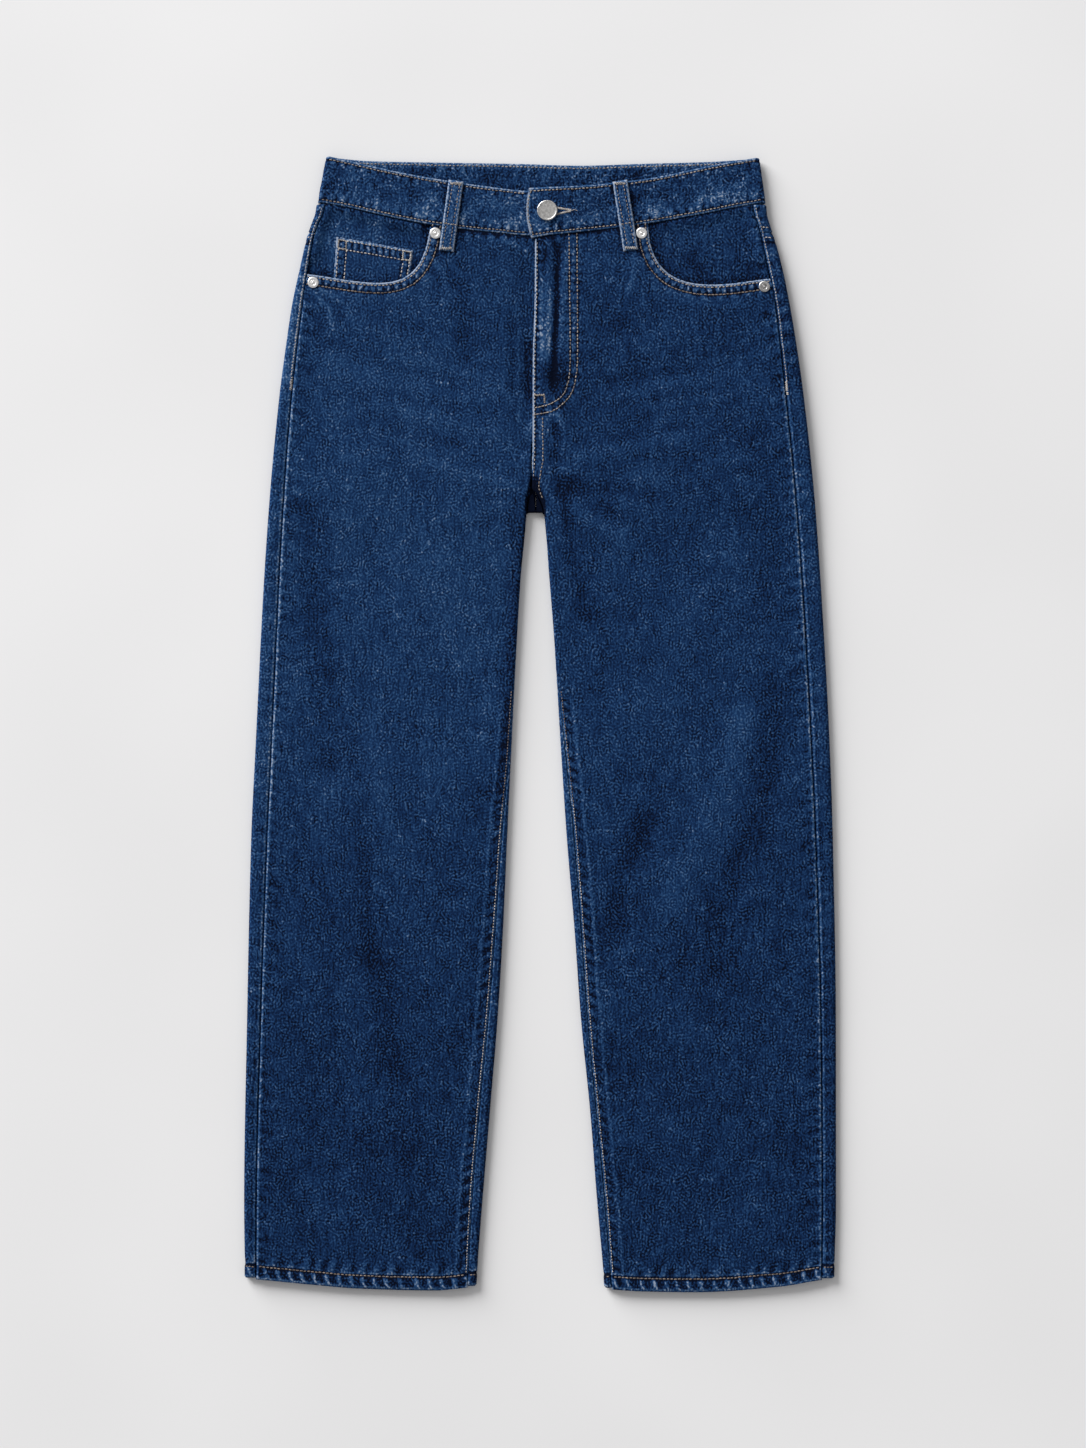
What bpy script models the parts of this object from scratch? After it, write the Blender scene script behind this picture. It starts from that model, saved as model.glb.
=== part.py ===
"""Mom jeans laid flat on a level surface, front up.

X runs towards the wearer's left, Y towards the waist and Z up. Sizes are in millimetres, and
MM turns them into metres where a mesh is made. Each leg's sizes are outward distances from the
centre line, so that one function builds the right piece (SIDE -1) and the left one (SIDE +1).
Every cloth piece is a wall between an outer and an inner grid of points, and neighbours stay
SEAM apart.
"""

import math
from typing import NamedTuple

import bmesh
import bpy
import numpy as np

MM = 0.001
RIGHT, LEFT = -1, 1
SIDE_NAME = {RIGHT: "right", LEFT: "left"}
MIDDLE_X, MIDDLE_Y = -0.4, 0.45  # centre of the garment's box in the measured layout

SEAM = 0.3  # gap between two pieces that are sewn together
DENIM = 1.6  # one layer, with its share of the seam allowances
HEM_WALL = 2.7  # the hem is turned up twice
HEM_DEPTH = 12.0
BAND_WALL = 2.4  # waistband, two layers and what is caught between them
PATCH = 1.5  # loops and patch pockets
FOLD_STRIP = 12.0  # stretch beside the inner fold that gets its own columns of points


class Outseam(NamedTuple):
    """Outer edge of the garment at one height: where it folds over, and the side seam on top."""

    y: float
    fold: float
    seam: float


class Inseam(NamedTuple):
    """Inner edge of a front: its seam or fly edge, and the fold it curls towards."""

    y: float
    seam: float
    fold: float


class Level(NamedTuple):
    """Lowest and highest face of the two panels lying on each other."""

    y: float
    base: float
    top: float


class Reach(NamedTuple):
    """Height along the garment (y) of an edge at one distance or share across it (at)."""

    at: float
    y: float


class Wrap(NamedTuple):
    """One row of a back panel at the crotch: how its inner end turns up round the fold."""

    row_y: float
    edge_x: float
    edge_y: float
    turn: float  # degrees from the outward direction towards the hem
    lead: float  # straight stretch on the lower face before the fold
    reach: float  # where the cloth ends past the fold's edge, or before it if below 0
    top: float


class Station(NamedTuple):
    """Upper and lower edge of the waistband at one place round it."""

    x_top: float
    y_top: float
    x_low: float
    y_low: float
    z: float


class ZipRow(NamedTuple):
    """Half width and height of what stands on the zip's tapes at one height."""

    y: float
    half: float
    height: float


OUTSEAMS = {
    RIGHT: (
        Outseam(462, 196.3, 188.8),
        Outseam(450, 198.2, 191.3),
        Outseam(440, 201.8, 196.0),
        Outseam(430, 205.2, 199.4),
        Outseam(400, 212.1, 204.8),
        Outseam(370, 218.5, 209.3),
        Outseam(330, 224.5, 214.4),
        Outseam(290, 229.7, 218.8),
        Outseam(205, 237.9, 225.5),
        Outseam(130, 243.2, 229.8),
        Outseam(-20, 250.9, 236.8),
        Outseam(-100, 254.7, 240.6),
        Outseam(-260, 258.3, 246.2),
        Outseam(-420, 260.9, 250.0),
        Outseam(-500, 259.8, 250.4),
    ),
    LEFT: (
        Outseam(462, 198.4, 186.3),
        Outseam(450, 199.2, 188.2),
        Outseam(440, 201.9, 191.6),
        Outseam(430, 205.2, 194.1),
        Outseam(400, 213.2, 200.6),
        Outseam(370, 219.3, 206.6),
        Outseam(330, 226.0, 211.6),
        Outseam(290, 231.6, 215.9),
        Outseam(205, 240.7, 224.3),
        Outseam(130, 246.4, 230.1),
        Outseam(-20, 254.7, 238.7),
        Outseam(-100, 257.4, 242.2),
        Outseam(-260, 260.0, 246.8),
        Outseam(-420, 260.1, 248.0),
        Outseam(-500, 257.7, 247.4),
    ),
}

INSEAMS = {
    RIGHT: (
        Inseam(462, -6.0, -12.0),
        Inseam(280, -6.0, -12.0),
        Inseam(262, -3.0, -9.0),
        Inseam(246, 7.5, 2.5),
        Inseam(228, 8.1, 4.4),
        Inseam(215, 8.4, 7.3),
        Inseam(208, 8.5, 8.4),
        Inseam(203, 11.5, 11.5),
        Inseam(190, 11.9, 11.9),
        Inseam(130, 17.3, 17.3),
        Inseam(60, 21.8, 21.6),
        Inseam(-20, 26.9, 25.6),
        Inseam(-100, 34.1, 29.4),
        Inseam(-180, 39.7, 33.0),
        Inseam(-260, 46.0, 37.9),
        Inseam(-340, 53.7, 44.5),
        Inseam(-420, 60.2, 51.2),
        Inseam(-500, 64.3, 57.4),
    ),
    LEFT: (
        Inseam(462, -4.8, -10.0),
        Inseam(374, -5.3, -11.0),
        Inseam(321, -6.9, -12.0),
        Inseam(246, -7.1, -12.1),
        Inseam(228, -7.7, -11.4),
        Inseam(215, -8.0, -9.1),
        Inseam(208, -8.1, -8.2),
        Inseam(203, -3.0, -3.0),
        Inseam(190, 2.5, 2.5),
        Inseam(130, 7.6, 7.6),
        Inseam(60, 13.1, 13.0),
        Inseam(-20, 21.7, 17.9),
        Inseam(-100, 29.8, 23.2),
        Inseam(-180, 36.0, 29.9),
        Inseam(-260, 41.8, 35.7),
        Inseam(-340, 49.3, 43.7),
        Inseam(-420, 56.9, 49.9),
        Inseam(-500, 63.0, 57.2),
    ),
}

# The seat is carried on the back pockets and loops, the legs lie on the surface themselves.
LEVELS = (
    Level(500, 1.8, 8.6),
    Level(240, 1.8, 8.6),
    Level(205, 1.8, 8.3),
    Level(150, 0.0, 7.2),
    Level(-100, 0.0, 6.7),
    Level(-500, 0.0, 6.6),
)

WAIST_Y = 430.0  # height of the waist seam at the fly, where the fronts' columns end
WAIST_SEAMS = {
    RIGHT: (
        Reach(-24, 430.0),
        Reach(10, 430.1),
        Reach(36.5, 432.6),
        Reach(72, 436.2),
        Reach(98, 440.0),
        Reach(141, 448.6),
        Reach(164.5, 454.0),
        Reach(186, 458.4),
        Reach(200, 459.8),
    ),
    LEFT: (
        Reach(-12, 426.8),
        Reach(7, 430.4),
        Reach(29, 432.6),
        Reach(69, 437.3),
        Reach(108, 443.0),
        Reach(146, 450.0),
        Reach(184.5, 457.8),
        Reach(200, 459.8),
    ),
}

# Hand-bent cubic of each front pocket's opening, from the side seam to the waist seam.
POCKET_CURVES = {
    RIGHT: ((204.9, 396.6), (144.1, 388.1), (104.6, 372.5), (97.0, 439.4)),
    LEFT: ((201.8, 392.4), (168.2, 389.9), (96.6, 367.4), (94.8, 440.5)),
}

# Share across the back from the side to the centre, and across a leg from outside to inside.
YOKE_SEAM = (Reach(0.0, 433.2), Reach(0.35, 417.0), Reach(0.7, 397.0), Reach(1.0, 379.0))
HEMS = {
    RIGHT: (Reach(0, -487.7), Reach(0.25, -492.2), Reach(0.5, -495.9), Reach(0.85, -497.5),
            Reach(1, -495.0)),
    LEFT: (Reach(0, -488.2), Reach(0.2, -494.2), Reach(0.6, -499.0), Reach(0.85, -498.4),
           Reach(1, -496.7)),
}
BACK_HEM_LIFT = 1.5  # the back hem stays hidden behind the front one

CENTRE_BACK = ((460.0, 0.0), (186.0, -4.5))  # (y, x) of the seam's two ends
FORK_Y = 186.6
WRAPS = {
    RIGHT: (
        Wrap(204.5, -4.6, FORK_Y, 90, 14.0, -5.0, 5.2),
        Wrap(202.0, -4.7, FORK_Y, 90, 12.5, 0.0, 5.2),
        Wrap(199.5, -4.9, FORK_Y, 90, 11.0, 3.0, 5.2),
        Wrap(197.0, -5.4, FORK_Y, 90, 9.5, 10.0, 5.2),
        Wrap(194.0, -6.6, FORK_Y, 90, 8.0, 17.0, 5.2),
        Wrap(190.0, -8.6, FORK_Y, 90, 5.5, 16.0, 5.2),
        Wrap(186.0, -10.4, FORK_Y, 90, 3.0, 9.0, 5.2),
        Wrap(181.0, -11.2, 186.4, 80, 1.0, 1.5, 5.2),
        Wrap(175.0, -11.9, 184.5, 40, 0.0, -0.6, 7.0),
    ),
    LEFT: (
        Wrap(204.5, -3.95, FORK_Y, 90, 14.0, -5.0, 5.2),
        Wrap(202.0, -3.9, FORK_Y, 90, 12.5, 0.0, 5.2),
        Wrap(199.5, -3.7, FORK_Y, 90, 11.0, 3.0, 5.2),
        Wrap(197.0, -3.3, FORK_Y, 90, 9.5, 10.0, 5.2),
        Wrap(194.0, -2.4, FORK_Y, 90, 8.0, 14.0, 5.2),
        Wrap(190.0, -0.6, FORK_Y, 90, 5.5, 10.0, 5.2),
        Wrap(186.0, 1.0, FORK_Y, 90, 3.0, 6.0, 5.2),
        Wrap(181.0, 1.8, 186.4, 80, 1.0, 1.5, 5.2),
        Wrap(175.0, 2.5, 184.5, 40, 0.0, -0.6, 7.0),
    ),
}

# Rows of points down a leg that every panel shares, below BLEND_Y.
BLEND_Y = 340.0
BLEND_ROWS = 4
SEAT_ROWS = (300, 262, 246, 228, 215, 208)
BACK_SEAT_ROWS = (290, 240, 208)
LEG_ROWS = (160, 130, 60, -20, -100, -180, -260, -340, -420, -470)
FRONT_FORK_ROWS = (203, 190)
POCKET_COLUMNS, WAIST_COLUMNS = 9, 5
FLAT_COLUMNS, FOLD_COLUMNS = 7, 5
SEAT_STRIP = 30.0  # stretch beside the seat seam that gets the fold's columns
EDGE_COLUMNS = 3

# Fly: the left front laps over the right one, and both leave the common level to pass.
FLY_DIP, FLY_LIFT = 1.4, 0.7
DIP_FROM, DIP_TO = 34.0, 8.0  # outward distances on the right front
LIFT_FROM, LIFT_TO = 40.0, 16.0  # outward distances on the left front
LAP_TOP, LAP_END = 246.0, 228.0

# Waistband, in the order overlapping end, left front, back, right front, end underneath.
BAND_TOP_Z, BAND_BASE_Z = 8.4, 1.8
BAND_FOLD = (BAND_TOP_Z - BAND_BASE_Z) / 2
OVERLAP_LIFT, UNDERLAP_DIP = 1.8, 1.0
LEFT_BAND = (
    Station(-10.0, 472.0, -8.0, 427.7, OVERLAP_LIFT),
    Station(7.0, 473.0, 7.0, 430.5, OVERLAP_LIFT),
    Station(24.0, 473.6, 24.0, 432.2, OVERLAP_LIFT),
    Station(42.0, 474.6, 43.0, 434.3, 0.9),
    Station(60.0, 476.5, 61.0, 436.4, 0.0),
    Station(92.0, 480.2, 94.0, 440.9, 0.0),
    Station(118.0, 485.0, 121.0, 445.4, 0.0),
    Station(146.0, 491.1, 150.0, 450.8, 0.0),
    Station(166.0, 494.8, 171.0, 455.1, 0.0),
    Station(189.4, 498.7, 195.2, 459.3, 0.0),
)
BACK_BAND = (
    Station(189.2, 498.2, 194.6, 457.6, 0.0),
    Station(146.0, 495.5, 147.0, 455.5, 0.0),
    Station(88.0, 493.9, 88.0, 453.9, 0.0),
    Station(35.0, 492.3, 35.0, 452.3, 0.0),
    Station(-18.0, 493.8, -18.0, 453.8, 0.0),
    Station(-88.0, 495.0, -88.0, 455.0, 0.0),
    Station(-150.0, 496.3, -151.0, 456.3, 0.0),
    Station(-185.2, 499.4, -192.6, 458.2, 0.0),
)
RIGHT_BAND = (
    Station(-185.4, 499.9, -193.0, 459.4, 0.0),
    Station(-167.8, 495.9, -172.0, 455.7, 0.0),
    Station(-138.7, 489.3, -142.0, 448.9, 0.0),
    Station(-109.6, 483.4, -112.0, 442.6, 0.0),
    Station(-81.8, 478.6, -84.0, 438.0, 0.0),
    Station(-57.0, 474.9, -58.0, 434.8, 0.0),
    Station(-36.5, 472.2, -36.5, 432.7, 0.0),
    Station(-14.0, 469.9, -14.0, 430.5, -UNDERLAP_DIP),
    Station(4.0, 469.6, 4.0, 430.2, -UNDERLAP_DIP),
    Station(22.0, 469.6, 22.0, 430.2, -UNDERLAP_DIP),
)
BAND_ROWS = 4
BACK_BAND_HALF = 195.0  # from the centre back to the side, along the waistband's lower edge
OVERLAP_BULGE = 3.6  # how far the middle of the overlapping end stands out

# Front pocket facings, and the coin pocket on the right one.
FACING_WALL = 1.3
FACING_GAP = 0.7
FACING_Z = {RIGHT: 5.4, LEFT: 6.6}  # outer face
FACING_INNER_EDGE, FACING_LOW_Y, FACING_HIGH_Y = 76.0, 348.0, 458.0
FACING_RIM = 12.0  # stretch over which a facing climbs to the seams round it
FACING_CLIMB_Y, FACING_CLIMB_OUT = (404.0, 414.0), (100.0, 108.0)  # clear of the front below
FACING_STEP = 0.4  # how far under its neighbours' faces it ends
FACING_ACROSS = (0.0, 0.05, 0.1, 0.3, 0.53, 0.77, 1.0)
FACING_ALONG = (0.0, 0.24, 0.47, 0.6, 0.735, 0.825, 0.915, 1.0)
COIN_OUTLINE = ((-179.5, 429.4), (-111.7, 417.7), (-121.0, 356.0), (-184.5, 358.0))
COIN_WALL = 1.0

# Back pockets, as seen from the back, on the half with positive outward distances.
BACK_POCKET = ((42.0, 361.0), (184.0, 389.0), (178.0, 262.0), (121.0, 226.0), (57.0, 246.0))

LOOP_WIDTH = 13.0
LOOP_ARCH = 0.8
FRONT_LOOPS = {  # (x, y) of the middle of the upper and of the lower end
    RIGHT: ((-74.2, 478.4), (-82.8, 416.5)),
    LEFT: ((69.8, 478.4), (79.4, 417.0)),
}
BACK_LOOPS = {
    "back_right": ((-124.0, 497.0), (-126.0, 436.0)),
    "back_centre": ((-1.0, 494.5), (-1.0, 432.0)),
    "back_left": ((124.0, 496.0), (126.0, 435.0)),
}

ZIP_X = 12.0
TAPE_LEFT, TAPE_RIGHT = -5.0, 34.0
TAPE_Z, TAPE_WALL = 4.3, 1.0
ZIP_ROWS = (
    ZipRow(427.0, 2.8, 1.5),
    ZipRow(424.4, 2.8, 1.5),
    ZipRow(424.0, 4.0, 2.7),
    ZipRow(412.0, 3.2, 2.7),
    ZipRow(411.6, 2.4, 2.3),
    ZipRow(388.0, 2.9, 2.3),
    ZipRow(387.6, 2.8, 1.5),
    ZipRow(284.0, 2.8, 1.5),
)

BUTTON_X, BUTTON_Y = 5.9, 452.1
BUTTON_RADIUS, POST_RADIUS = 9.0, 2.4
BUTTON_SEAT = BAND_TOP_Z + OVERLAP_LIFT + SEAM
POST_BASE = BAND_TOP_Z - UNDERLAP_DIP + SEAM
EYE_RADIUS, SLOT_WIDTH, SLOT_END_X = 3.0, 1.6, 24.5
CUT_HEIGHT = 8.0

RIVET_RADIUS = 5.0
RIVETS = {
    "rivet_waist_right": (-92.4, 432.3),
    "rivet_side_right": (-199.9, 389.0),
    "rivet_waist_left": (88.8, 432.4),
    "rivet_side_left": (196.8, 385.4),
}
SEGMENTS = 24


class Finish(NamedTuple):
    """Plain surface values of one kind of material."""

    colour: tuple
    roughness: float
    metallic: float


DENIM_FACE = Finish((0.030, 0.085, 0.160), 0.9, 0.0)
TAPE = Finish((0.012, 0.020, 0.045), 0.85, 0.0)
NICKEL = Finish((0.62, 0.61, 0.58), 0.3, 1.0)


# ---------------------------------------------------------------- tables and levels


def column(rows, y, name):
    """Value of one named column of a table at height y, in a straight line between rows."""
    ordered = sorted(rows, key=lambda row: row.y)
    return float(np.interp(y, [row.y for row in ordered], [getattr(row, name) for row in ordered]))


def reach(rows, at):
    """Height of an edge at a distance or share across it."""
    return float(np.interp(at, [row.at for row in rows], [row.y for row in rows]))


def smooth(share):
    """Ease from 0 to 1."""
    share = min(max(share, 0.0), 1.0)
    return share * share * (3 - 2 * share)


def between(value, low, high):
    """Ease from 0 at low to 1 at high."""
    return smooth((value - low) / (high - low))


def lap(y):
    """How much the two fronts part to pass each other at the fly: 1 along it, 0 below it."""
    return between(y, LAP_END, LAP_TOP)


def front_top(side, outward, y):
    """Level of the outer face of a front, away from its folds."""
    top = column(LEVELS, y, "top")
    if side == RIGHT:
        return top - FLY_DIP * lap(y) * (1 - between(outward, DIP_TO, DIP_FROM))
    return top + FLY_LIFT * lap(y) * (1 - between(outward, LIFT_TO, LIFT_FROM))


def arc_length(depth, radius):
    """Length along the outer face from the fold's edge to a point this far in from it."""
    if depth < radius:
        return radius * math.acos(max(1 - depth / radius, -1))
    return radius * math.pi / 2 + depth - radius


def fold_point(length, radius, middle, wall, top):
    """(distance in from the edge, level) at a length along the outer face, or a wall below it.

    Negative lengths run down round the fold and along the lower face.
    """
    angle = length / radius
    if abs(angle) <= math.pi / 2:
        return radius - (radius - wall) * math.cos(angle), middle + (radius - wall) * math.sin(angle)
    inward = radius + abs(length) - radius * math.pi / 2
    return inward, top - wall if length > 0 else middle - radius + wall


# ---------------------------------------------------------------- objects


def clear_scene():
    """Remove every object of the open scene."""
    for obj in list(bpy.data.objects):
        bpy.data.objects.remove(obj, do_unlink=True)


def collection(name, hidden=False):
    """A collection of the scene, hidden from renders where it holds cutters."""
    found = bpy.data.collections.new(name)
    bpy.context.scene.collection.children.link(found)
    found.hide_render = hidden
    return found


def dress(obj, finish):
    """Give the object its own material."""
    material = bpy.data.materials.new(obj.name)
    material.use_nodes = True
    shader = material.node_tree.nodes["Principled BSDF"]
    shader.inputs["Base Color"].default_value = (*finish.colour, 1)
    shader.inputs["Roughness"].default_value = finish.roughness
    shader.inputs["Metallic"].default_value = finish.metallic
    obj.data.materials.append(material)


def place(x, y, z):
    """A measured point in the part's frame, in metres."""
    return ((x - MIDDLE_X) * MM, (y - MIDDLE_Y) * MM, z * MM)


def add_object(name, mesh, finish, group):
    """Link a mesh as one named piece."""
    obj = bpy.data.objects.new(name, mesh)
    group.objects.link(obj)
    dress(obj, finish)
    return obj


def add_wall(name, outer, inner, finish, group):
    """Close the space between two equal grids of points: one wall of cloth."""
    rows, columns = len(outer), len(outer[0])
    points = [place(*point) for grid in (outer, inner) for row in grid for point in row]
    shift = rows * columns

    def index(row, col, layer):
        return layer * shift + row * columns + col

    faces = []
    for row in range(rows - 1):
        for col in range(columns - 1):
            ring = ((row, col), (row + 1, col), (row + 1, col + 1), (row, col + 1))
            faces.append([index(r, c, 0) for r, c in ring])
            faces.append([index(r, c, 1) for r, c in reversed(ring)])
    border = [(row, 0) for row in range(rows)]
    border += [(rows - 1, col) for col in range(1, columns)]
    border += [(row, columns - 1) for row in range(rows - 2, -1, -1)]
    border += [(0, col) for col in range(columns - 2, 0, -1)]
    for start, end in zip(border, border[1:] + border[:1]):
        faces.append([index(*start, 0), index(*start, 1), index(*end, 1), index(*end, 0)])
    mesh = bpy.data.meshes.new(name)
    mesh.from_pydata(points, [], faces)
    mesh.shade_smooth()
    mesh.set_sharp_from_angle(angle=math.radians(40))
    if signed_volume(mesh) < 0:
        mesh.flip_normals()
    return add_object(name, mesh, finish, group)


def signed_volume(mesh):
    """Volume of a closed mesh, below zero where its faces point inwards."""
    mesh.calc_loop_triangles()
    total = 0.0
    for triangle in mesh.loop_triangles:
        a, b, c = (mesh.vertices[i].co for i in triangle.vertices)
        total += a.dot(b.cross(c)) / 6
    return total


def add_outline(name, outline, base, thickness, finish, group):
    """A flat piece from its outline, with faces at base and base + thickness."""
    curve = bpy.data.curves.new(name, "CURVE")
    curve.dimensions = "2D"
    curve.fill_mode = "BOTH"
    curve.extrude = thickness * MM / 2
    spline = curve.splines.new("POLY")
    spline.points.add(len(outline) - 1)
    for point, (x, y) in zip(spline.points, outline):
        point.co = (*place(x, y, 0)[:2], 0, 1)
    spline.use_cyclic_u = True
    obj = add_object(name, curve, finish, group)
    obj.location.z = (base + thickness / 2) * MM
    return obj


def add_turned(name, profile, centre, finish, group):
    """A turned piece: (radius, level) points from the top down its outer side, round a centre."""
    mesh = bpy.data.meshes.new(name)
    points = [(radius * MM, 0, level * MM) for radius, level in profile]
    mesh.from_pydata(points, [(i, i + 1) for i in range(len(points) - 1)], [])
    obj = add_object(name, mesh, finish, group)
    obj.location = place(*centre)
    screw = obj.modifiers.new("turn", "SCREW")
    screw.steps = screw.render_steps = SEGMENTS
    screw.use_merge_vertices = True
    screw.merge_threshold = 1e-5
    return obj


# ---------------------------------------------------------------- panels


def bezier(points, share):
    """Point of a cubic at a share of its parameter."""
    rest = 1 - share
    weights = (rest**3, 3 * rest**2 * share, 3 * rest * share**2, share**3)
    return tuple(sum(w * p[axis] for w, p in zip(weights, points)) for axis in (0, 1))


def front_row(side, y):
    """Outward distance or arc of each column of a front at height y, from the side seam inwards.

    The last columns are lengths along the inner fold, given as negative numbers.
    """
    seam = column(OUTSEAMS[side], y, "seam") - SEAM / 2
    edge, fold = (column(INSEAMS[side], y, name) for name in ("seam", "fold"))
    radius = (column(LEVELS, y, "top") - column(LEVELS, y, "base")) / 2
    last = arc_length(edge - fold, radius) + SEAM / 2
    first = arc_length(edge - fold + FOLD_STRIP, radius)
    flats = np.linspace(seam, edge + FOLD_STRIP, POCKET_COLUMNS + WAIST_COLUMNS + 1)
    arcs = np.linspace(first, last, EDGE_COLUMNS + 1)[1:]
    return [(outward, None) for outward in flats] + [(fold, length) for length in arcs]


def front_point(side, outward, length, y, wall):
    """A point of a front's outer face (wall 0) or inner face."""
    top, base = column(LEVELS, y, "top"), column(LEVELS, y, "base")
    radius = (top - base) / 2
    level = front_top(side, outward, y)
    if length is not None:
        inward, level = fold_point(length, radius, base + radius, wall, 0)
        outward += inward
        if length > radius * math.pi / 2:
            level = front_top(side, outward, y) - wall
        return side * outward, y, level
    return side * outward, y, level - wall


def pocket_and_waist(side):
    """Upper edge of a front: along the pocket's opening, then along the waist seam."""
    curve = POCKET_CURVES[side]
    edge = [bezier(curve, share) for share in np.linspace(0, 1, POCKET_COLUMNS + 1)]
    corner = edge[-1][0]
    row = front_row(side, WAIST_Y)
    inner = [outward for outward, length in row if length is None][-1]
    for outward in np.linspace(corner, inner, WAIST_COLUMNS + 1)[1:]:
        edge.append((outward, reach(WAIST_SEAMS[side], outward) - SEAM))
    radius = (column(LEVELS, WAIST_Y, "top") - column(LEVELS, WAIST_Y, "base")) / 2
    for fold, length in row[-EDGE_COLUMNS:]:
        inward, _ = fold_point(length, radius, 0, 0, 0)
        edge.append((fold + inward, reach(WAIST_SEAMS[side], fold + inward) - SEAM))
    return edge


def front_panel(side, group):
    """A front: from the pocket's opening and the waist seam down to the hem."""
    upper, lower = pocket_and_waist(side), front_row(side, BLEND_Y)
    straight = [front_point(side, *entry, BLEND_Y, 0) for entry in lower]
    outer, inner = [], []
    for step in range(BLEND_ROWS):
        share = step / BLEND_ROWS
        row = []
        for (out, high_y), (x, low_y, _) in zip(upper, straight):
            outward, y = out + (side * x - out) * share, high_y + (low_y - high_y) * share
            row.append((side * outward, y, front_top(side, outward, y)))
        outer.append(row)
        inner.append([(x, y, z - DENIM) for x, y, z in row])
    for y in (BLEND_Y, *SEAT_ROWS, *FRONT_FORK_ROWS, *LEG_ROWS):
        entries = front_row(side, y)
        outer.append([front_point(side, *entry, y, 0) for entry in entries])
        inner.append([front_point(side, *entry, y, DENIM) for entry in entries])
    count = len(lower) - 1
    for inset, wall in hem_steps():
        heights = [reach(HEMS[side], col / count) + inset for col in range(count + 1)]
        entries = [front_row(side, y)[col] for col, y in enumerate(heights)]
        outer.append([front_point(side, *e, y, 0) for e, y in zip(entries, heights)])
        inner.append([front_point(side, *e, y, wall) for e, y in zip(entries, heights)])
    return add_wall(f"front_{SIDE_NAME[side]}", outer, inner, DENIM_FACE, group)


def hem_steps():
    """Distance up from the hem's edge, and thickness, of the last rows of a panel."""
    return ((HEM_DEPTH + 0.5, DENIM), (HEM_DEPTH, HEM_WALL), (0.0, HEM_WALL))


def centre_back(y):
    """X of the seat seam at height y."""
    (y_top, x_top), (y_low, x_low) = CENTRE_BACK
    return x_low + (x_top - x_low) * (y - y_low) / (y_top - y_low)


def outer_columns(side, y, wall):
    """The back's points from the side seam over the outer fold to the lower face."""
    fold, seam = (column(OUTSEAMS[side], y, name) for name in ("fold", "seam"))
    top, base = column(LEVELS, y, "top"), column(LEVELS, y, "base")
    radius = (top - base) / 2
    quarter = radius * math.pi / 2
    lengths = [arc_length(fold - seam - SEAM / 2, radius)]
    lengths += [quarter, quarter / 2, 0, -quarter / 2, -quarter]
    spots = [fold_point(length, radius, base + radius, wall, top) for length in lengths]
    return [(side * (fold - inward), y, level) for inward, level in spots]


def back_row(side, heights, wall, end):
    """One row of the back: heights are its y at the side and at the inner end.

    end gives the points of the inner stretch: it starts on the lower face.
    """
    y_side, y_end = heights
    points = outer_columns(side, y_side, wall)
    tail = end(wall)
    start = points[-1]
    for step in range(1, FLAT_COLUMNS):
        share = step / FLAT_COLUMNS
        y = y_side + (y_end - y_side) * share**2
        x = start[0] + (tail[0][0] - start[0]) * share
        points.append((x, y, column(LEVELS, y, "base") + wall))
    return points + tail


def seat_row(side, height_of):
    """A row across the seat, from the side seam to the seat seam; height_of(share) gives y."""
    def row(wall):
        points = outer_columns(side, height_of(0.0), wall)
        start = side * points[-1][0]
        flats = np.linspace(start, SEAT_STRIP, FLAT_COLUMNS + 1)[1:]
        for outward in (*flats, *np.linspace(SEAT_STRIP, 0, FOLD_COLUMNS + 1)[1:]):
            y = height_of(1 - outward / start)
            x = side * outward + centre_back(y) * (1 - outward / start)
            x += side * SEAM / 2 * (1 - outward / start)
            points.append((x, y, column(LEVELS, y, "base") + wall))
        return points
    return row


def fork_row(side, wrap):
    """A row whose inner end turns up round the crotch's fold."""
    base = column(LEVELS, wrap.edge_y, "base")
    radius = (wrap.top - base) / 2
    turn = math.radians(wrap.turn)
    out_x, out_y = -side * math.cos(turn), -math.sin(turn)
    quarter = radius * math.pi / 2
    start, last = -quarter - wrap.lead, math.copysign(arc_length(abs(wrap.reach), radius), wrap.reach)
    if last > quarter:
        lengths = [start, *np.linspace(-quarter, quarter, FOLD_COLUMNS - 1), last]
    elif last > -quarter and wrap.lead:
        lengths = [start, *np.linspace(-quarter, last, FOLD_COLUMNS)]
    else:
        lengths = np.linspace(start, last, FOLD_COLUMNS + 1)

    def tail(wall):
        points = []
        for length in lengths:
            inward, level = fold_point(length, radius, base + radius, wall, wrap.top)
            points.append((wrap.edge_x - out_x * inward, wrap.edge_y - out_y * inward, level))
        return points
    approach = wrap.edge_y + (radius + wrap.lead) * math.sin(turn)
    return lambda wall: back_row(side, (wrap.row_y, approach), wall, tail)


def leg_row(side, y_side, y_end):
    """A row round a leg, from the side seam under the leg and up to the inseam."""
    top, base = column(LEVELS, y_end, "top"), column(LEVELS, y_end, "base")
    radius = (top - base) / 2
    seam, fold = (column(INSEAMS[side], y_end, name) for name in ("seam", "fold"))
    last = arc_length(max(seam - fold, 0), radius) - SEAM / 2

    def tail(wall):
        points = []
        for length in np.linspace(-radius * math.pi / 2, last, FOLD_COLUMNS + 1):
            inward, level = fold_point(length, radius, base + radius, wall, top)
            points.append((side * (fold + inward), y_end, level))
        return points
    return lambda wall: back_row(side, (y_side, y_end), wall, tail)


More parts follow.
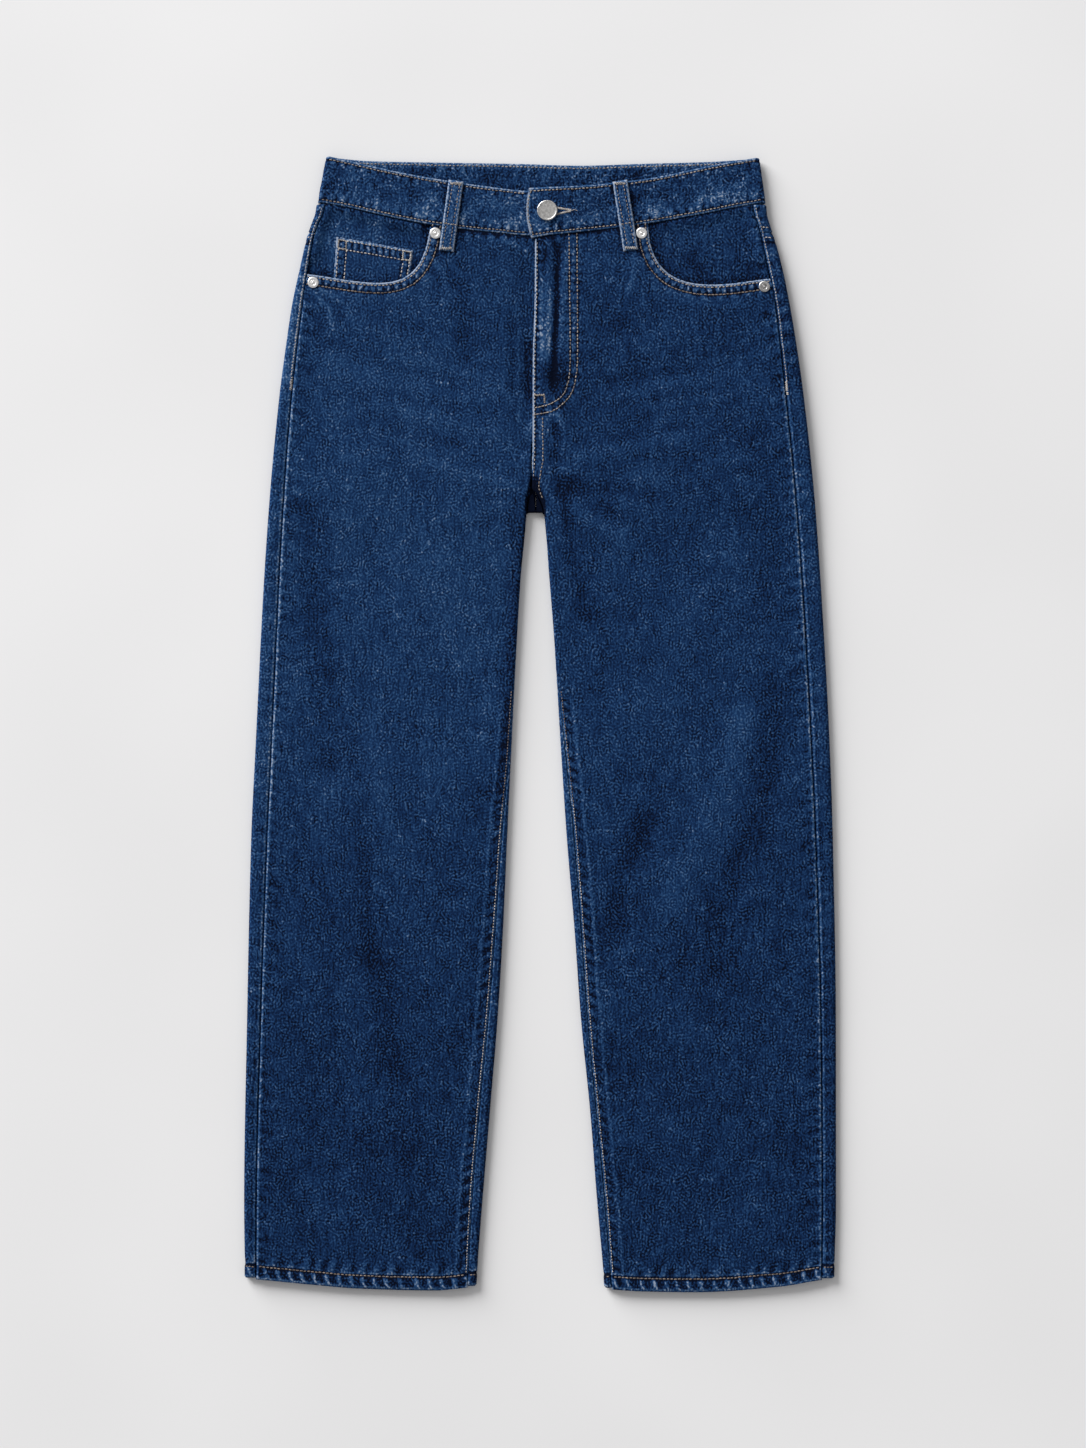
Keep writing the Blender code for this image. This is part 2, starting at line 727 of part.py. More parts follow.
def back_panel(side, group):
    """A back: from the yoke seam down to the hem, and from the side seam round to the inseam."""
    rows = []
    for step in range(BLEND_ROWS + 1):
        share = step / BLEND_ROWS
        rows.append((seat_row(side, lambda at, share=share: (reach(YOKE_SEAM, at) - SEAM)
                              * (1 - share) + BLEND_Y * share), DENIM))
    rows += [(seat_row(side, lambda at, y=y: y), DENIM) for y in BACK_SEAT_ROWS]
    rows += [(fork_row(side, wrap), DENIM) for wrap in WRAPS[side]]
    rows += [(leg_row(side, y, y), DENIM) for y in LEG_ROWS]
    hem_side, hem_end = (reach(HEMS[side], at) for at in (0, 1))
    for inset, wall in hem_steps():
        lift = BACK_HEM_LIFT + inset
        rows.append((leg_row(side, hem_side + lift, hem_end + lift), wall))
    outer = [row(0) for row, _ in rows]
    inner = [row(wall) for row, wall in rows]
    return add_wall(f"back_{SIDE_NAME[side]}", outer, inner, DENIM_FACE, group)


def yoke(side, group):
    """The yoke, between the yoke seam and the waistband, round the side to the side seam."""
    grids = []
    for wall in (0, DENIM):
        grid = []
        for share in np.linspace(0, 1, 4):
            def height(at, share=share):
                low = reach(YOKE_SEAM, at)
                high = back_band_low(side, at) - SEAM
                return low + (high - low) * share
            grid.append(seat_row(side, height)(wall))
        grids.append(grid)
    return add_wall(f"yoke_{SIDE_NAME[side]}", *grids, DENIM_FACE, group)


def back_band_low(side, share):
    """Lower edge of the waistband at the back, at a share across from the side to the centre."""
    x = side * BACK_BAND_HALF * (1 - share)
    rows = sorted(BACK_BAND, key=lambda station: station.x_low)
    return float(np.interp(x, [row.x_low for row in rows], [row.y_low for row in rows]))


# ---------------------------------------------------------------- waistband and trims


def band_turn(front, back):
    """Stations round a side, between the last one on the front and the first on the back."""
    side = 1 if front.x_top > 0 else -1
    turned = []
    for angle in np.radians((45.0, 0.0, -45.0)):
        share = (1 - math.sin(angle)) / 2
        flat = [a + (b - a) * share for a, b in zip(front[:4], back[:4])]
        bulge = side * BAND_FOLD * math.cos(angle)
        turned.append(((flat[0] + bulge, flat[1], flat[2] + bulge, flat[3]), angle))
    return turned


def waistband(group):
    """The waistband: one strip from its overlapping end round the back to the end beneath."""
    middle = BAND_BASE_Z + BAND_FOLD
    path = [(station[:4], 90.0, station.z) for station in LEFT_BAND]
    path += [(ends, math.degrees(angle), 0.0) for ends, angle in band_turn(LEFT_BAND[-1], BACK_BAND[0])]
    path += [(station[:4], -90.0, 0.0) for station in BACK_BAND]
    turn = band_turn(RIGHT_BAND[0], BACK_BAND[-1])
    path += [(ends, math.degrees(angle), 0.0) for ends, angle in reversed(turn)]
    path += [(station[:4], 90.0, station.z) for station in RIGHT_BAND]
    grids = []
    for wall in (0, BAND_WALL):
        grid = []
        for share in np.linspace(0, 1, BAND_ROWS):
            row = []
            for number, ((x_top, y_top, x_low, y_low), angle, lift) in enumerate(path):
                turn_share = math.sin(math.radians(angle))
                side_share = math.cos(math.radians(angle))
                x = x_top + (x_low - x_top) * share
                x -= math.copysign(side_share * wall, x_top) if side_share > 1e-6 else 0
                if number == 0:
                    x -= OVERLAP_BULGE * math.sin(math.pi * share)
                y = y_top + (y_low - y_top) * share
                row.append((x, y, middle + lift + (BAND_FOLD - wall) * turn_share))
            grid.append(row)
        grids.append(grid)
    return add_wall("waistband", *grids, DENIM_FACE, group)


def buttonhole(band, cutters):
    """Cut the keyhole through the overlapping end, round the button's post."""
    eye = [(BUTTON_X + EYE_RADIUS * math.cos(a), BUTTON_Y + EYE_RADIUS * math.sin(a))
           for a in np.radians(np.arange(20, 341, 20))]
    slot = [(SLOT_END_X, BUTTON_Y - SLOT_WIDTH / 2), (SLOT_END_X, BUTTON_Y + SLOT_WIDTH / 2)]
    base = BAND_TOP_Z - UNDERLAP_DIP + SEAM / 2
    outline = add_outline("buttonhole_outline", eye + slot, base, CUT_HEIGHT, DENIM_FACE, cutters)
    bpy.context.view_layer.update()
    graph = bpy.context.evaluated_depsgraph_get()
    mesh = bpy.data.meshes.new_from_object(outline.evaluated_get(graph))
    cutter = bpy.data.objects.new("buttonhole_cutter", mesh)
    cutters.objects.link(cutter)
    cutter.matrix_world = outline.matrix_world
    bpy.data.objects.remove(outline, do_unlink=True)
    weld_caps(mesh)
    cutter.hide_render = True
    cutter.display_type = "WIRE"
    cut = band.modifiers.new("buttonhole", "BOOLEAN")
    cut.object = cutter
    cut.solver = "EXACT"


def weld_caps(mesh):
    """Join a curve's caps to its sides."""
    work = bmesh.new()
    work.from_mesh(mesh)
    bmesh.ops.remove_doubles(work, verts=work.verts, dist=1e-6)
    bmesh.ops.recalc_face_normals(work, faces=work.faces)
    work.to_mesh(mesh)
    work.free()


def facing(side, group):
    """The facing that shows in a front pocket's opening; it climbs to the seams round it."""
    def point(across, along, wall):
        low_y = FACING_LOW_Y
        high_seam = column(OUTSEAMS[side], FACING_HIGH_Y, "seam")
        outer_top = high_seam + (FACING_INNER_EDGE - high_seam) * across
        high_y = reach(WAIST_SEAMS[side], outer_top) - FACING_GAP
        y = low_y + (high_y - low_y) * along
        seam = column(OUTSEAMS[side], y, "seam") - FACING_GAP
        outward = seam + (FACING_INNER_EDGE - seam) * across
        climb = max(1 - (seam - outward) / FACING_RIM, 1 - (high_y - y) / FACING_RIM, 0.0)
        clear = between(y, *FACING_CLIMB_Y) * between(outward, *FACING_CLIMB_OUT)
        level = FACING_Z[side]
        level += (column(LEVELS, y, "top") - FACING_STEP - level) * smooth(climb) * clear
        return side * outward, y, level - wall
    grids = [[[point(across, along, wall) for across in FACING_ACROSS] for along in FACING_ALONG]
             for wall in (0, FACING_WALL)]
    return add_wall(f"pocket_facing_{SIDE_NAME[side]}", *grids, DENIM_FACE, group)


def belt_loop(name, ends, base, arch, group):
    """A belt loop: a narrow strip whose middle stands off the cloth by arch."""
    (x_top, y_top), (x_low, y_low) = ends
    grids = []
    for wall in (0, PATCH):
        grid = []
        for share in np.linspace(0, 1, 7):
            x, y = x_top + (x_low - x_top) * share, y_top + (y_low - y_top) * share
            level = base + PATCH + arch * math.sin(math.pi * share) - wall
            slant = (x_low - x_top) / (y_top - y_low)
            half = LOOP_WIDTH / 2
            grid.append([(x - half, y - slant * half, level), (x + half, y + slant * half, level)])
        grids.append(grid)
    return add_wall(f"belt_loop_{name}", *grids, DENIM_FACE, group)


def back_pocket(side, group):
    """A plain patch pocket on the seat."""
    outline = [(side * outward, y) for outward, y in BACK_POCKET]
    return add_outline(f"back_pocket_{SIDE_NAME[side]}", outline, 0.0, PATCH, DENIM_FACE, group)


def fly_zip(group):
    """The closed zip under the fly: its tapes, and on them the chain, the slider and its pull."""
    top = TAPE_Z + TAPE_WALL
    outer, inner = [], []
    for row in ZIP_ROWS:
        ridge = TAPE_Z + row.height
        section = ((TAPE_LEFT, top), (ZIP_X - row.half - 0.4, top), (ZIP_X - row.half, ridge),
                   (ZIP_X + row.half, ridge), (ZIP_X + row.half + 0.4, top), (TAPE_RIGHT, top))
        outer.append([(x, row.y, level) for x, level in section])
        inner.append([(x, row.y, TAPE_Z) for x, _ in section])
    return add_wall("fly_zip", outer, inner, TAPE, group)


def jeans_button(group):
    """A shank button: its cap on the overlapping end, its post through the buttonhole."""
    seat, rim = BUTTON_SEAT, BUTTON_RADIUS
    profile = ((0, seat + 1.9), (6.6, seat + 1.9), (7.2, seat + 2.6), (8.4, seat + 2.6),
               (rim, seat + 1.9), (rim, seat + 0.7), (8.3, seat), (POST_RADIUS, seat),
               (POST_RADIUS, POST_BASE), (0, POST_BASE))
    return add_turned("button", profile, (BUTTON_X, BUTTON_Y, 0), NICKEL, group)


def rivet(name, spot, group):
    """A rivet head with its small nub."""
    level = column(LEVELS, spot[1], "top") + SEAM
    profile = ((0, 2.0), (1.5, 1.9), (2.0, 1.2), (4.2, 1.0), (RIVET_RADIUS, 0.4),
               (RIVET_RADIUS, 0.0), (0, 0.0))
    return add_turned(name, profile, (*spot, level), NICKEL, group)


def main():
    """Build every piece of the jeans."""
    clear_scene()
    jeans, cutters = collection("mom_jeans"), collection("cutters", hidden=True)
    for side in (RIGHT, LEFT):
        front_panel(side, jeans)
        back_panel(side, jeans)
        yoke(side, jeans)
        facing(side, jeans)
        back_pocket(side, jeans)
        base = column(LEVELS, WAIST_Y, "top") + SEAM
        belt_loop(f"front_{SIDE_NAME[side]}", FRONT_LOOPS[side], base, LOOP_ARCH, jeans)
    for name, ends in BACK_LOOPS.items():
        belt_loop(name, ends, 0.0, 0.0, jeans)
    add_outline("coin_pocket", COIN_OUTLINE, FACING_Z[RIGHT] + SEAM, COIN_WALL, DENIM_FACE, jeans)
    buttonhole(waistband(jeans), cutters)
    fly_zip(jeans)
    jeans_button(jeans)
    for name, spot in RIVETS.items():
        rivet(name, spot, jeans)


if __name__ == "__main__":
    main()
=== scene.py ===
"""Mom jeans lying flat, front up: washed denim panels with their seams, wear and stitching.

Sizes are in millimetres in the layout of the pattern: X towards the wearer's left, Y towards the
waist, Z up from the surface. `to_frame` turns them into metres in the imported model's frame.
"""

import logging
from dataclasses import dataclass
from enum import Enum
from math import copysign, cos, pi, radians, sin
from typing import Any, Callable, Sequence

import bpy
import numpy as np
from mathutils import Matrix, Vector
from mathutils.bvhtree import BVHTree

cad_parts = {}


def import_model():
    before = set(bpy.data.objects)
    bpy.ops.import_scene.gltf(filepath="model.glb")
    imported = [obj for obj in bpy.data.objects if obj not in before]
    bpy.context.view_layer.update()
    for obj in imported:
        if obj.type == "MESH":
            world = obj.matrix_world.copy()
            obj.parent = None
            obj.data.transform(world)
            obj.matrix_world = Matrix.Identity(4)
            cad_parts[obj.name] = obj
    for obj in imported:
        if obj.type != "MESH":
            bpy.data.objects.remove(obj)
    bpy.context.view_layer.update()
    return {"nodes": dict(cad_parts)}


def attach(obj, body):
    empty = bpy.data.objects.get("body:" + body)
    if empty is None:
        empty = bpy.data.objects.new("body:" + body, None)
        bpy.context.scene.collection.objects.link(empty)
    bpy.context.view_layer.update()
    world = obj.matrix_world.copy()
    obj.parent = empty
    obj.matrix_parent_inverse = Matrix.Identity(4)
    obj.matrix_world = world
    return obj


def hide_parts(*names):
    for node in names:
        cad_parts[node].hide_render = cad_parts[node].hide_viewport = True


LOG = logging.getLogger("mom_jeans")
Array = np.ndarray
Number = Array | float
Pair = tuple[Array, Array]
Point = tuple[float, float]
Colour = tuple[float, float, float]
Line = Sequence[Point]
Table = tuple[tuple[float, ...], ...]
Object = bpy.types.Object
Material = bpy.types.Material
Socket = bpy.types.NodeSocket

MM = 0.001
MIDDLE_X, MIDDLE_Y = -0.4, 0.45  # centre of the garment's box in the layout
SEAM = 0.3  # gap between two pieces that are sewn together
DENIM = 1.6  # one layer, with its share of the seam allowances
HEM_WALL = 2.7
HEM_DEPTH = 11.5
BAND_WALL = 2.4
PATCH = 1.5
SEAM_ROLL = 0.9  # rounding of an edge that is sewn to its neighbour
FREE_ROLL = 1.25  # rounding of an edge that is folded and free
STRAIGHT_END = -440.0  # the legs' rows below it follow the hem
BLEND_Y = 340.0  # the panels' rows above it follow the waist, those below it run straight


class Side(Enum):
    """The wearer's right lies on the negative half of X."""

    RIGHT = -1
    LEFT = 1

    @property
    def sign(self) -> int:
        """Direction of this half along X."""
        return self.value

    @property
    def label(self) -> str:
        """The side's name in piece names."""
        return self.name.lower()

    def pick(self, right: Any, left: Any) -> Any:
        """The value that belongs to this side."""
        return right if self is Side.RIGHT else left


# ---- curves and noise


def ease(value: Number, low: float, high: float) -> Array:
    """Ease from 0 at the first limit to 1 at the second."""
    share = np.clip((np.asarray(value, float) - low) / (high - low), 0, 1)
    return share * share * (3 - 2 * share)


def fall(value: Number, low: float, high: float) -> Array:
    """Ease from 1 at the first limit to 0 at the second."""
    return 1 - ease(value, low, high)


def bell(offset: Number, width: float) -> Array:
    """A smooth bump of height 1 at offset 0."""
    return np.exp(-((np.asarray(offset, float) / width) ** 2))


@dataclass(frozen=True)
class Gauge:
    """A smooth curve through measured stations (where, value) that never overshoots them."""

    stations: tuple[tuple[float, float], ...]

    def __call__(self, where: Number) -> Array:
        """Read the curve.

        Args:
            where: Places to read it at; beyond its ends the end value holds.

        Returns:
            The value at each place.
        """
        at, value = np.array(sorted(self.stations), float).T
        step = np.diff(at)
        slope = np.diff(value) / step
        before, after = slope[:-1], slope[1:]
        total = np.where(np.abs(before + after) < 1e-12, 1, before + after)
        inner = np.where(before * after > 0, 2 * before * after / total, 0)
        tangent = np.concatenate([slope[:1], inner, slope[-1:]])
        clipped = np.clip(np.asarray(where, float), at[0], at[-1])
        i = np.clip(np.searchsorted(at, clipped) - 1, 0, len(step) - 1)
        t = (clipped - at[i]) / step[i]
        return (
            (2 * t**3 - 3 * t**2 + 1) * value[i]
            + (t**3 - 2 * t**2 + t) * step[i] * tangent[i]
            + (3 * t**2 - 2 * t**3) * value[i + 1]
            + (t**3 - t**2) * step[i] * tangent[i + 1]
        )


def gauges(rows: Table) -> list[Gauge]:
    """One gauge for each column after the first, which holds the stations."""
    return [Gauge(tuple((row[0], row[i]) for row in rows)) for i in range(1, len(rows[0]))]


@dataclass(frozen=True)
class Ripple:
    """Repeatable smooth noise from -1 to 1 over the plane."""

    seed: int
    pitch_x: float
    pitch_y: float

    def __call__(self, x: Number, y: Number) -> Array:
        """Read the noise at each (x, y)."""
        cells = np.random.default_rng(self.seed).uniform(-1, 1, (64, 64))
        u, v = np.asarray(x) / self.pitch_x + 640, np.asarray(y) / self.pitch_y + 640
        i, j = np.floor(u).astype(int), np.floor(v).astype(int)
        s, t = ease(u - i, 0, 1), ease(v - j, 0, 1)
        i, j, k, m = i % 64, j % 64, (i + 1) % 64, (j + 1) % 64
        low = cells[i, j] * (1 - s) + cells[k, j] * s
        high = cells[i, m] * (1 - s) + cells[k, m] * s
        return low * (1 - t) + high * t


def pucker(along: Array, pitch: float, seed: int) -> Array:
    """An uneven wave along a seam.

    Args:
        along: Distance along the seam.
        pitch: Mean distance between two crests.
        seed: Seed of the unevenness.

    Returns:
        Height from -1 to 1.
    """
    drift = Ripple(seed, pitch * 3.1, 1)(along, 0)
    swell = Ripple(seed + 50, pitch * 2.3, 1)(along, 0)
    return np.cos(2 * pi * (along / pitch + 0.5 * drift)) * (0.65 + 0.35 * swell)


def lengths(line: Array) -> Array:
    """Length along a line up to each of its points."""
    return np.concatenate([[0], np.cumsum(np.linalg.norm(np.diff(line, axis=0), axis=1))])


def read_line(line: Array, at: Array) -> Array:
    """Places at these lengths along a line, straight between its points."""
    return np.stack([np.interp(at, lengths(line), part) for part in line.T], axis=-1)


def read_evenly(rows: Table, count: int) -> Array:
    """Read a table smoothly, at even steps along the line of its first two columns.

    Args:
        rows: The table.
        count: Number of steps.

    Returns:
        Its columns at each step.
    """
    table = np.array(rows, float)
    length = lengths(table[:, :2])
    at = np.linspace(0, length[-1], count)
    return np.stack([Gauge(tuple(zip(length, column)))(at) for column in table.T], axis=1)


@dataclass(frozen=True)
class Path:
    """A smooth line over the cloth, kept as points about 1.5 mm apart."""

    line: Array

    @staticmethod
    def through(points: Line, spacing: float = 1.5) -> "Path":
        """Lay a line through its points."""
        length = lengths(np.array(points, float))[-1]
        return Path(read_evenly(points, max(int(length / spacing), 2) + 1))

    def measure(self, x: Array, y: Array) -> Pair:
        """Distance from the line and distance along it, for points within 40 mm of its box.

        Args:
            x: X of each point.
            y: Y of each point.

        Returns:
            Distance to the line, and along it, for each point.
        """
        low, high = self.line.min(axis=0) - 40, self.line.max(axis=0) + 40.0
        near = (x > low[0]) & (x < high[0]) & (y > low[1]) & (y < high[1])
        away, along = np.full(x.shape, 1e3), np.zeros(x.shape)
        spots = np.stack([x[near], y[near]], axis=1)
        step = np.diff(self.line, axis=0)
        size = np.linalg.norm(step, axis=1)
        best, best_along = np.full(len(spots), 1e3), np.zeros(len(spots))
        for origin, direction, span, passed in zip(self.line, step, size, lengths(self.line)):
            t = np.clip((spots - origin) @ direction / span**2, 0, 1)
            gap = np.linalg.norm(spots - origin - t[:, None] * direction, axis=1)
            best_along = np.where(gap < best, passed + t * span, best_along)
            best = np.minimum(gap, best)
        away[near], along[near] = best, best_along
        return away, along

    def beside(self, distance: float) -> "Path":
        """The same line moved to its left by a distance."""
        tangent = np.gradient(self.line, axis=0)
        tangent /= np.linalg.norm(tangent, axis=1)[:, None]
        return Path(self.line + np.stack([-tangent[:, 1], tangent[:, 0]], axis=1) * distance)

    def walk(self, pitch: float) -> Pair:
        """Evenly spaced places on the line.

        Args:
            pitch: Distance between two places.

        Returns:
            The places, and the line's direction at each.
        """
        at = np.arange(pitch / 2, lengths(self.line)[-1], pitch)
        spots, ahead, behind = (read_line(self.line, at + shift) for shift in (0, 0.5, -0.5))
        heading = ahead - behind
        return spots, heading / np.linalg.norm(heading, axis=1)[:, None]


# ---- the pattern's measurements

LEVELS = (  # y, lowest and highest face of the two panels lying on each other
    (500, 1.8, 8.6), (240, 1.8, 8.6), (205, 1.8, 8.3), (150, 0, 7.2), (-100, 0, 6.7), (-500, 0, 6.6),
)
BASE, TOP = gauges(LEVELS)

OUTSEAMS = {  # y, fold, seam
    Side.RIGHT: (
        (462, 196.3, 188.8), (450, 198.2, 191.3), (440, 201.8, 196), (430, 205.2, 199.4),
        (400, 212.1, 204.8), (370, 218.5, 209.3), (330, 224.5, 214.4), (290, 229.7, 218.8),
        (205, 237.9, 225.5), (130, 243.2, 229.8), (-20, 250.9, 236.8), (-100, 254.7, 240.6),
        (-260, 258.3, 246.2), (-420, 260.9, 250), (-500, 259.8, 250.4),
    ),
    Side.LEFT: (
        (462, 198.4, 186.3), (450, 199.2, 188.2), (440, 201.9, 191.6), (430, 205.2, 194.1),
        (400, 213.2, 200.6), (370, 219.3, 206.6), (330, 226, 211.6), (290, 231.6, 215.9),
        (205, 240.7, 224.3), (130, 246.4, 230.1), (-20, 254.7, 238.7), (-100, 257.4, 242.2),
        (-260, 260, 246.8), (-420, 260.1, 248), (-500, 257.7, 247.4),
    ),
}
INSEAMS = {  # y, seam or fly edge, fold
    Side.RIGHT: (
        (462, -6, -12), (280, -6, -12), (262, -3, -9), (246, 7.5, 2.5), (228, 8.1, 4.4), (215, 8.4, 7.3),
        (208, 8.5, 8.4), (203, 11.5, 11.5), (190, 11.9, 11.9), (130, 17.3, 17.3), (60, 21.8, 21.6),
        (-20, 26.9, 25.6), (-100, 34.1, 29.4), (-180, 39.7, 33), (-260, 46, 37.9), (-340, 53.7, 44.5),
        (-420, 60.2, 51.2), (-500, 64.3, 57.4),
    ),
    Side.LEFT: (
        (462, -4.8, -10), (374, -5.3, -11), (321, -6.9, -12), (246, -7.1, -12.1), (228, -7.7, -11.4),
        (215, -8, -9.1), (208, -8.1, -8.2), (203, -3, -3), (190, 2.5, 2.5), (130, 7.6, 7.6),
        (60, 13.1, 13), (-20, 21.7, 17.9), (-100, 29.8, 23.2), (-180, 36, 29.9), (-260, 41.8, 35.7),
        (-340, 49.3, 43.7), (-420, 56.9, 49.9), (-500, 63, 57.2),
    ),
}
WAIST_SEAMS = {  # outward, y
    Side.RIGHT: (
        (-24, 430), (10, 430.1), (36.5, 432.6), (72, 436.2), (98, 440), (141, 448.6), (164.5, 454),
        (186, 458.4), (200, 459.8),
    ),
    Side.LEFT: (
        (-12, 426.8), (7, 430.4), (29, 432.6), (69, 437.3), (108, 443), (146, 450), (184.5, 457.8),
        (200, 459.8),
    ),
}
POCKET_CURVES = {
    Side.RIGHT: ((204.9, 396.6), (144.1, 388.1), (104.6, 372.5), (97, 439.4)),
    Side.LEFT: ((201.8, 392.4), (168.2, 389.9), (96.6, 367.4), (94.8, 440.5)),
}
HEMS = {  # share across from outside to inside, y
    Side.RIGHT: ((0, -487.7), (0.25, -492.2), (0.5, -495.9), (0.85, -497.5), (1, -495)),
    Side.LEFT: ((0, -488.2), (0.2, -494.2), (0.6, -499), (0.85, -498.4), (1, -496.7)),
}
YOKE_SEAM = ((0, 433.2), (0.35, 417), (0.7, 397), (1, 379))
CENTRE_BACK = ((460, 0), (186, -4.5))  # (y, x) of the seat seam's two ends
FORK_Y = 186.6
WRAPS = (  # step, row_y, edge_y, turn, lead, top, edge_x and reach on the right, and on the left
    (0, 204.5, FORK_Y, 90, 14, 5.2, -4.6, -5, -3.95, -5),
    (1, 202, FORK_Y, 90, 12.5, 5.2, -4.7, 0, -3.9, 0),
    (2, 199.5, FORK_Y, 90, 11, 5.2, -4.9, 3, -3.7, 3),
    (3, 197, FORK_Y, 90, 9.5, 5.2, -5.4, 10, -3.3, 10),
    (4, 194, FORK_Y, 90, 8, 5.2, -6.6, 17, -2.4, 14),
    (5, 190, FORK_Y, 90, 5.5, 5.2, -8.6, 16, -0.6, 10),
    (6, 186, FORK_Y, 90, 3, 5.2, -10.4, 9, 1, 6),
    (7, 181, 186.4, 80, 1, 5.2, -11.2, 1.5, 1.8, 1.5),
    (8, 175, 184.5, 40, 0, 7, -11.9, -0.6, 2.5, -0.6),
)
BAND_TOP, BAND_BASE = 8.4, 1.8
BAND_FOLD = (BAND_TOP - BAND_BASE) / 2
OVERLAP_LIFT, UNDERLAP_DIP, OVERLAP_BULGE = 1.8, 1, 3.6
LEFT_BAND = (  # x_top, y_top, x_low, y_low, lift
    (-10, 472, -8, 427.7, OVERLAP_LIFT), (7, 473, 7, 430.5, OVERLAP_LIFT),
    (24, 473.6, 24, 432.2, OVERLAP_LIFT), (42, 474.6, 43, 434.3, 0.9), (60, 476.5, 61, 436.4, 0),
    (92, 480.2, 94, 440.9, 0), (118, 485, 121, 445.4, 0), (146, 491.1, 150, 450.8, 0),
    (166, 494.8, 171, 455.1, 0), (189.4, 498.7, 195.2, 459.3, 0),
)
BACK_BAND = (
    (189.2, 498.2, 194.6, 457.6, 0), (146, 495.5, 147, 455.5, 0), (88, 493.9, 88, 453.9, 0),
    (35, 492.3, 35, 452.3, 0), (-18, 493.8, -18, 453.8, 0), (-88, 495, -88, 455, 0),
    (-150, 496.3, -151, 456.3, 0), (-185.2, 499.4, -192.6, 458.2, 0),
)
RIGHT_BAND = (
    (-185.4, 499.9, -193, 459.4, 0), (-167.8, 495.9, -172, 455.7, 0), (-138.7, 489.3, -142, 448.9, 0),
    (-109.6, 483.4, -112, 442.6, 0), (-81.8, 478.6, -84, 438, 0), (-57, 474.9, -58, 434.8, 0),
    (-36.5, 472.2, -36.5, 432.7, 0), (-14, 469.9, -14, 430.5, -UNDERLAP_DIP),
    (4, 469.6, 4, 430.2, -UNDERLAP_DIP), (22, 469.6, 22, 430.2, -UNDERLAP_DIP),
)
COIN_OUTLINE = ((-179.5, 429.4), (-111.7, 417.7), (-121, 356), (-184.5, 358))
BACK_POCKET = ((42, 361), (184, 389), (178, 262), (121, 226), (57, 246))
LOOPS = {  # middle of the upper and of the lower end
    "front_right": ((-74.2, 478.4), (-82.8, 416.5)),
    "front_left": ((69.8, 478.4), (79.4, 417)),
    "back_right": ((-124, 493.6), (-126, 436)),
    "back_centre": ((-1, 491.6), (-1, 432)),
    "back_left": ((124, 493), (126, 435)),
}
BUTTON, BUTTON_SEAT = (5.9, 452.1), 10.5
RIVETS = {
    "rivet_waist_right": (-92.4, 432.3),
    "rivet_side_right": (-199.9, 389),
    "rivet_waist_left": (88.8, 432.4),
    "rivet_side_left": (196.8, 385.4),
}
J_OUTER = (
    (32.1, 433), (32.6, 321.2), (30.5, 301), (27, 290.9), (18.9, 281.8), (9.9, 275.7), (0.7, 273.7),
    (-6, 272.4),
)
J_INNER = (
    (25.1, 432.4), (26.2, 321.2), (25, 303), (20.9, 291.9), (12.8, 284.3), (4.8, 280.8), (-6, 278.6),
)


def to_frame(points: Array) -> Array:
    """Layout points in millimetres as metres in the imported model's frame."""
    return (points - np.array((MIDDLE_X, MIDDLE_Y, 0))) * MM


def arc_length(depth: Number, radius: Number) -> Array:
    """Length along an outer face from a fold's edge to a point this far in from it."""
    depth, radius = np.asarray(depth, float), np.asarray(radius, float)
    curved = radius * np.arccos(np.clip(1 - depth / radius, -1, 1))
    return np.where(depth < radius, curved, radius * pi / 2 + depth - radius)


def fold_section(length: Array, radius: Number, top: Number) -> Pair:
    """Walk round a fold.

    Args:
        length: Lengths along the outer face from the fold's edge, negative below it.
        radius: Radius of the fold.
        top: Level of the face above it.

    Returns:
        Distance in from the fold's edge, and level, for each length.
    """
    angle = np.clip(length / radius, -pi / 2, pi / 2)
    extra = np.maximum(np.abs(length) - radius * pi / 2, 0)
    return radius - radius * np.cos(angle) + extra, top - radius + radius * np.sin(angle)


def centre_back(y: Array) -> Array:
    """X of the seat seam at each height."""
    (y_top, x_top), (y_low, x_low) = CENTRE_BACK
    return x_low + (x_top - x_low) * (y - y_low) / (y_top - y_low)


def bezier(points: Line, share: Array) -> Array:
    """Points of a cubic at shares of its parameter."""
    p = np.array(points, float)
    t = np.asarray(share, float)[:, None]
    return (1 - t) ** 3 * p[0] + 3 * (1 - t) ** 2 * t * p[1] + 3 * (1 - t) * t**2 * p[2] + t**3 * p[3]


# ---- finishes


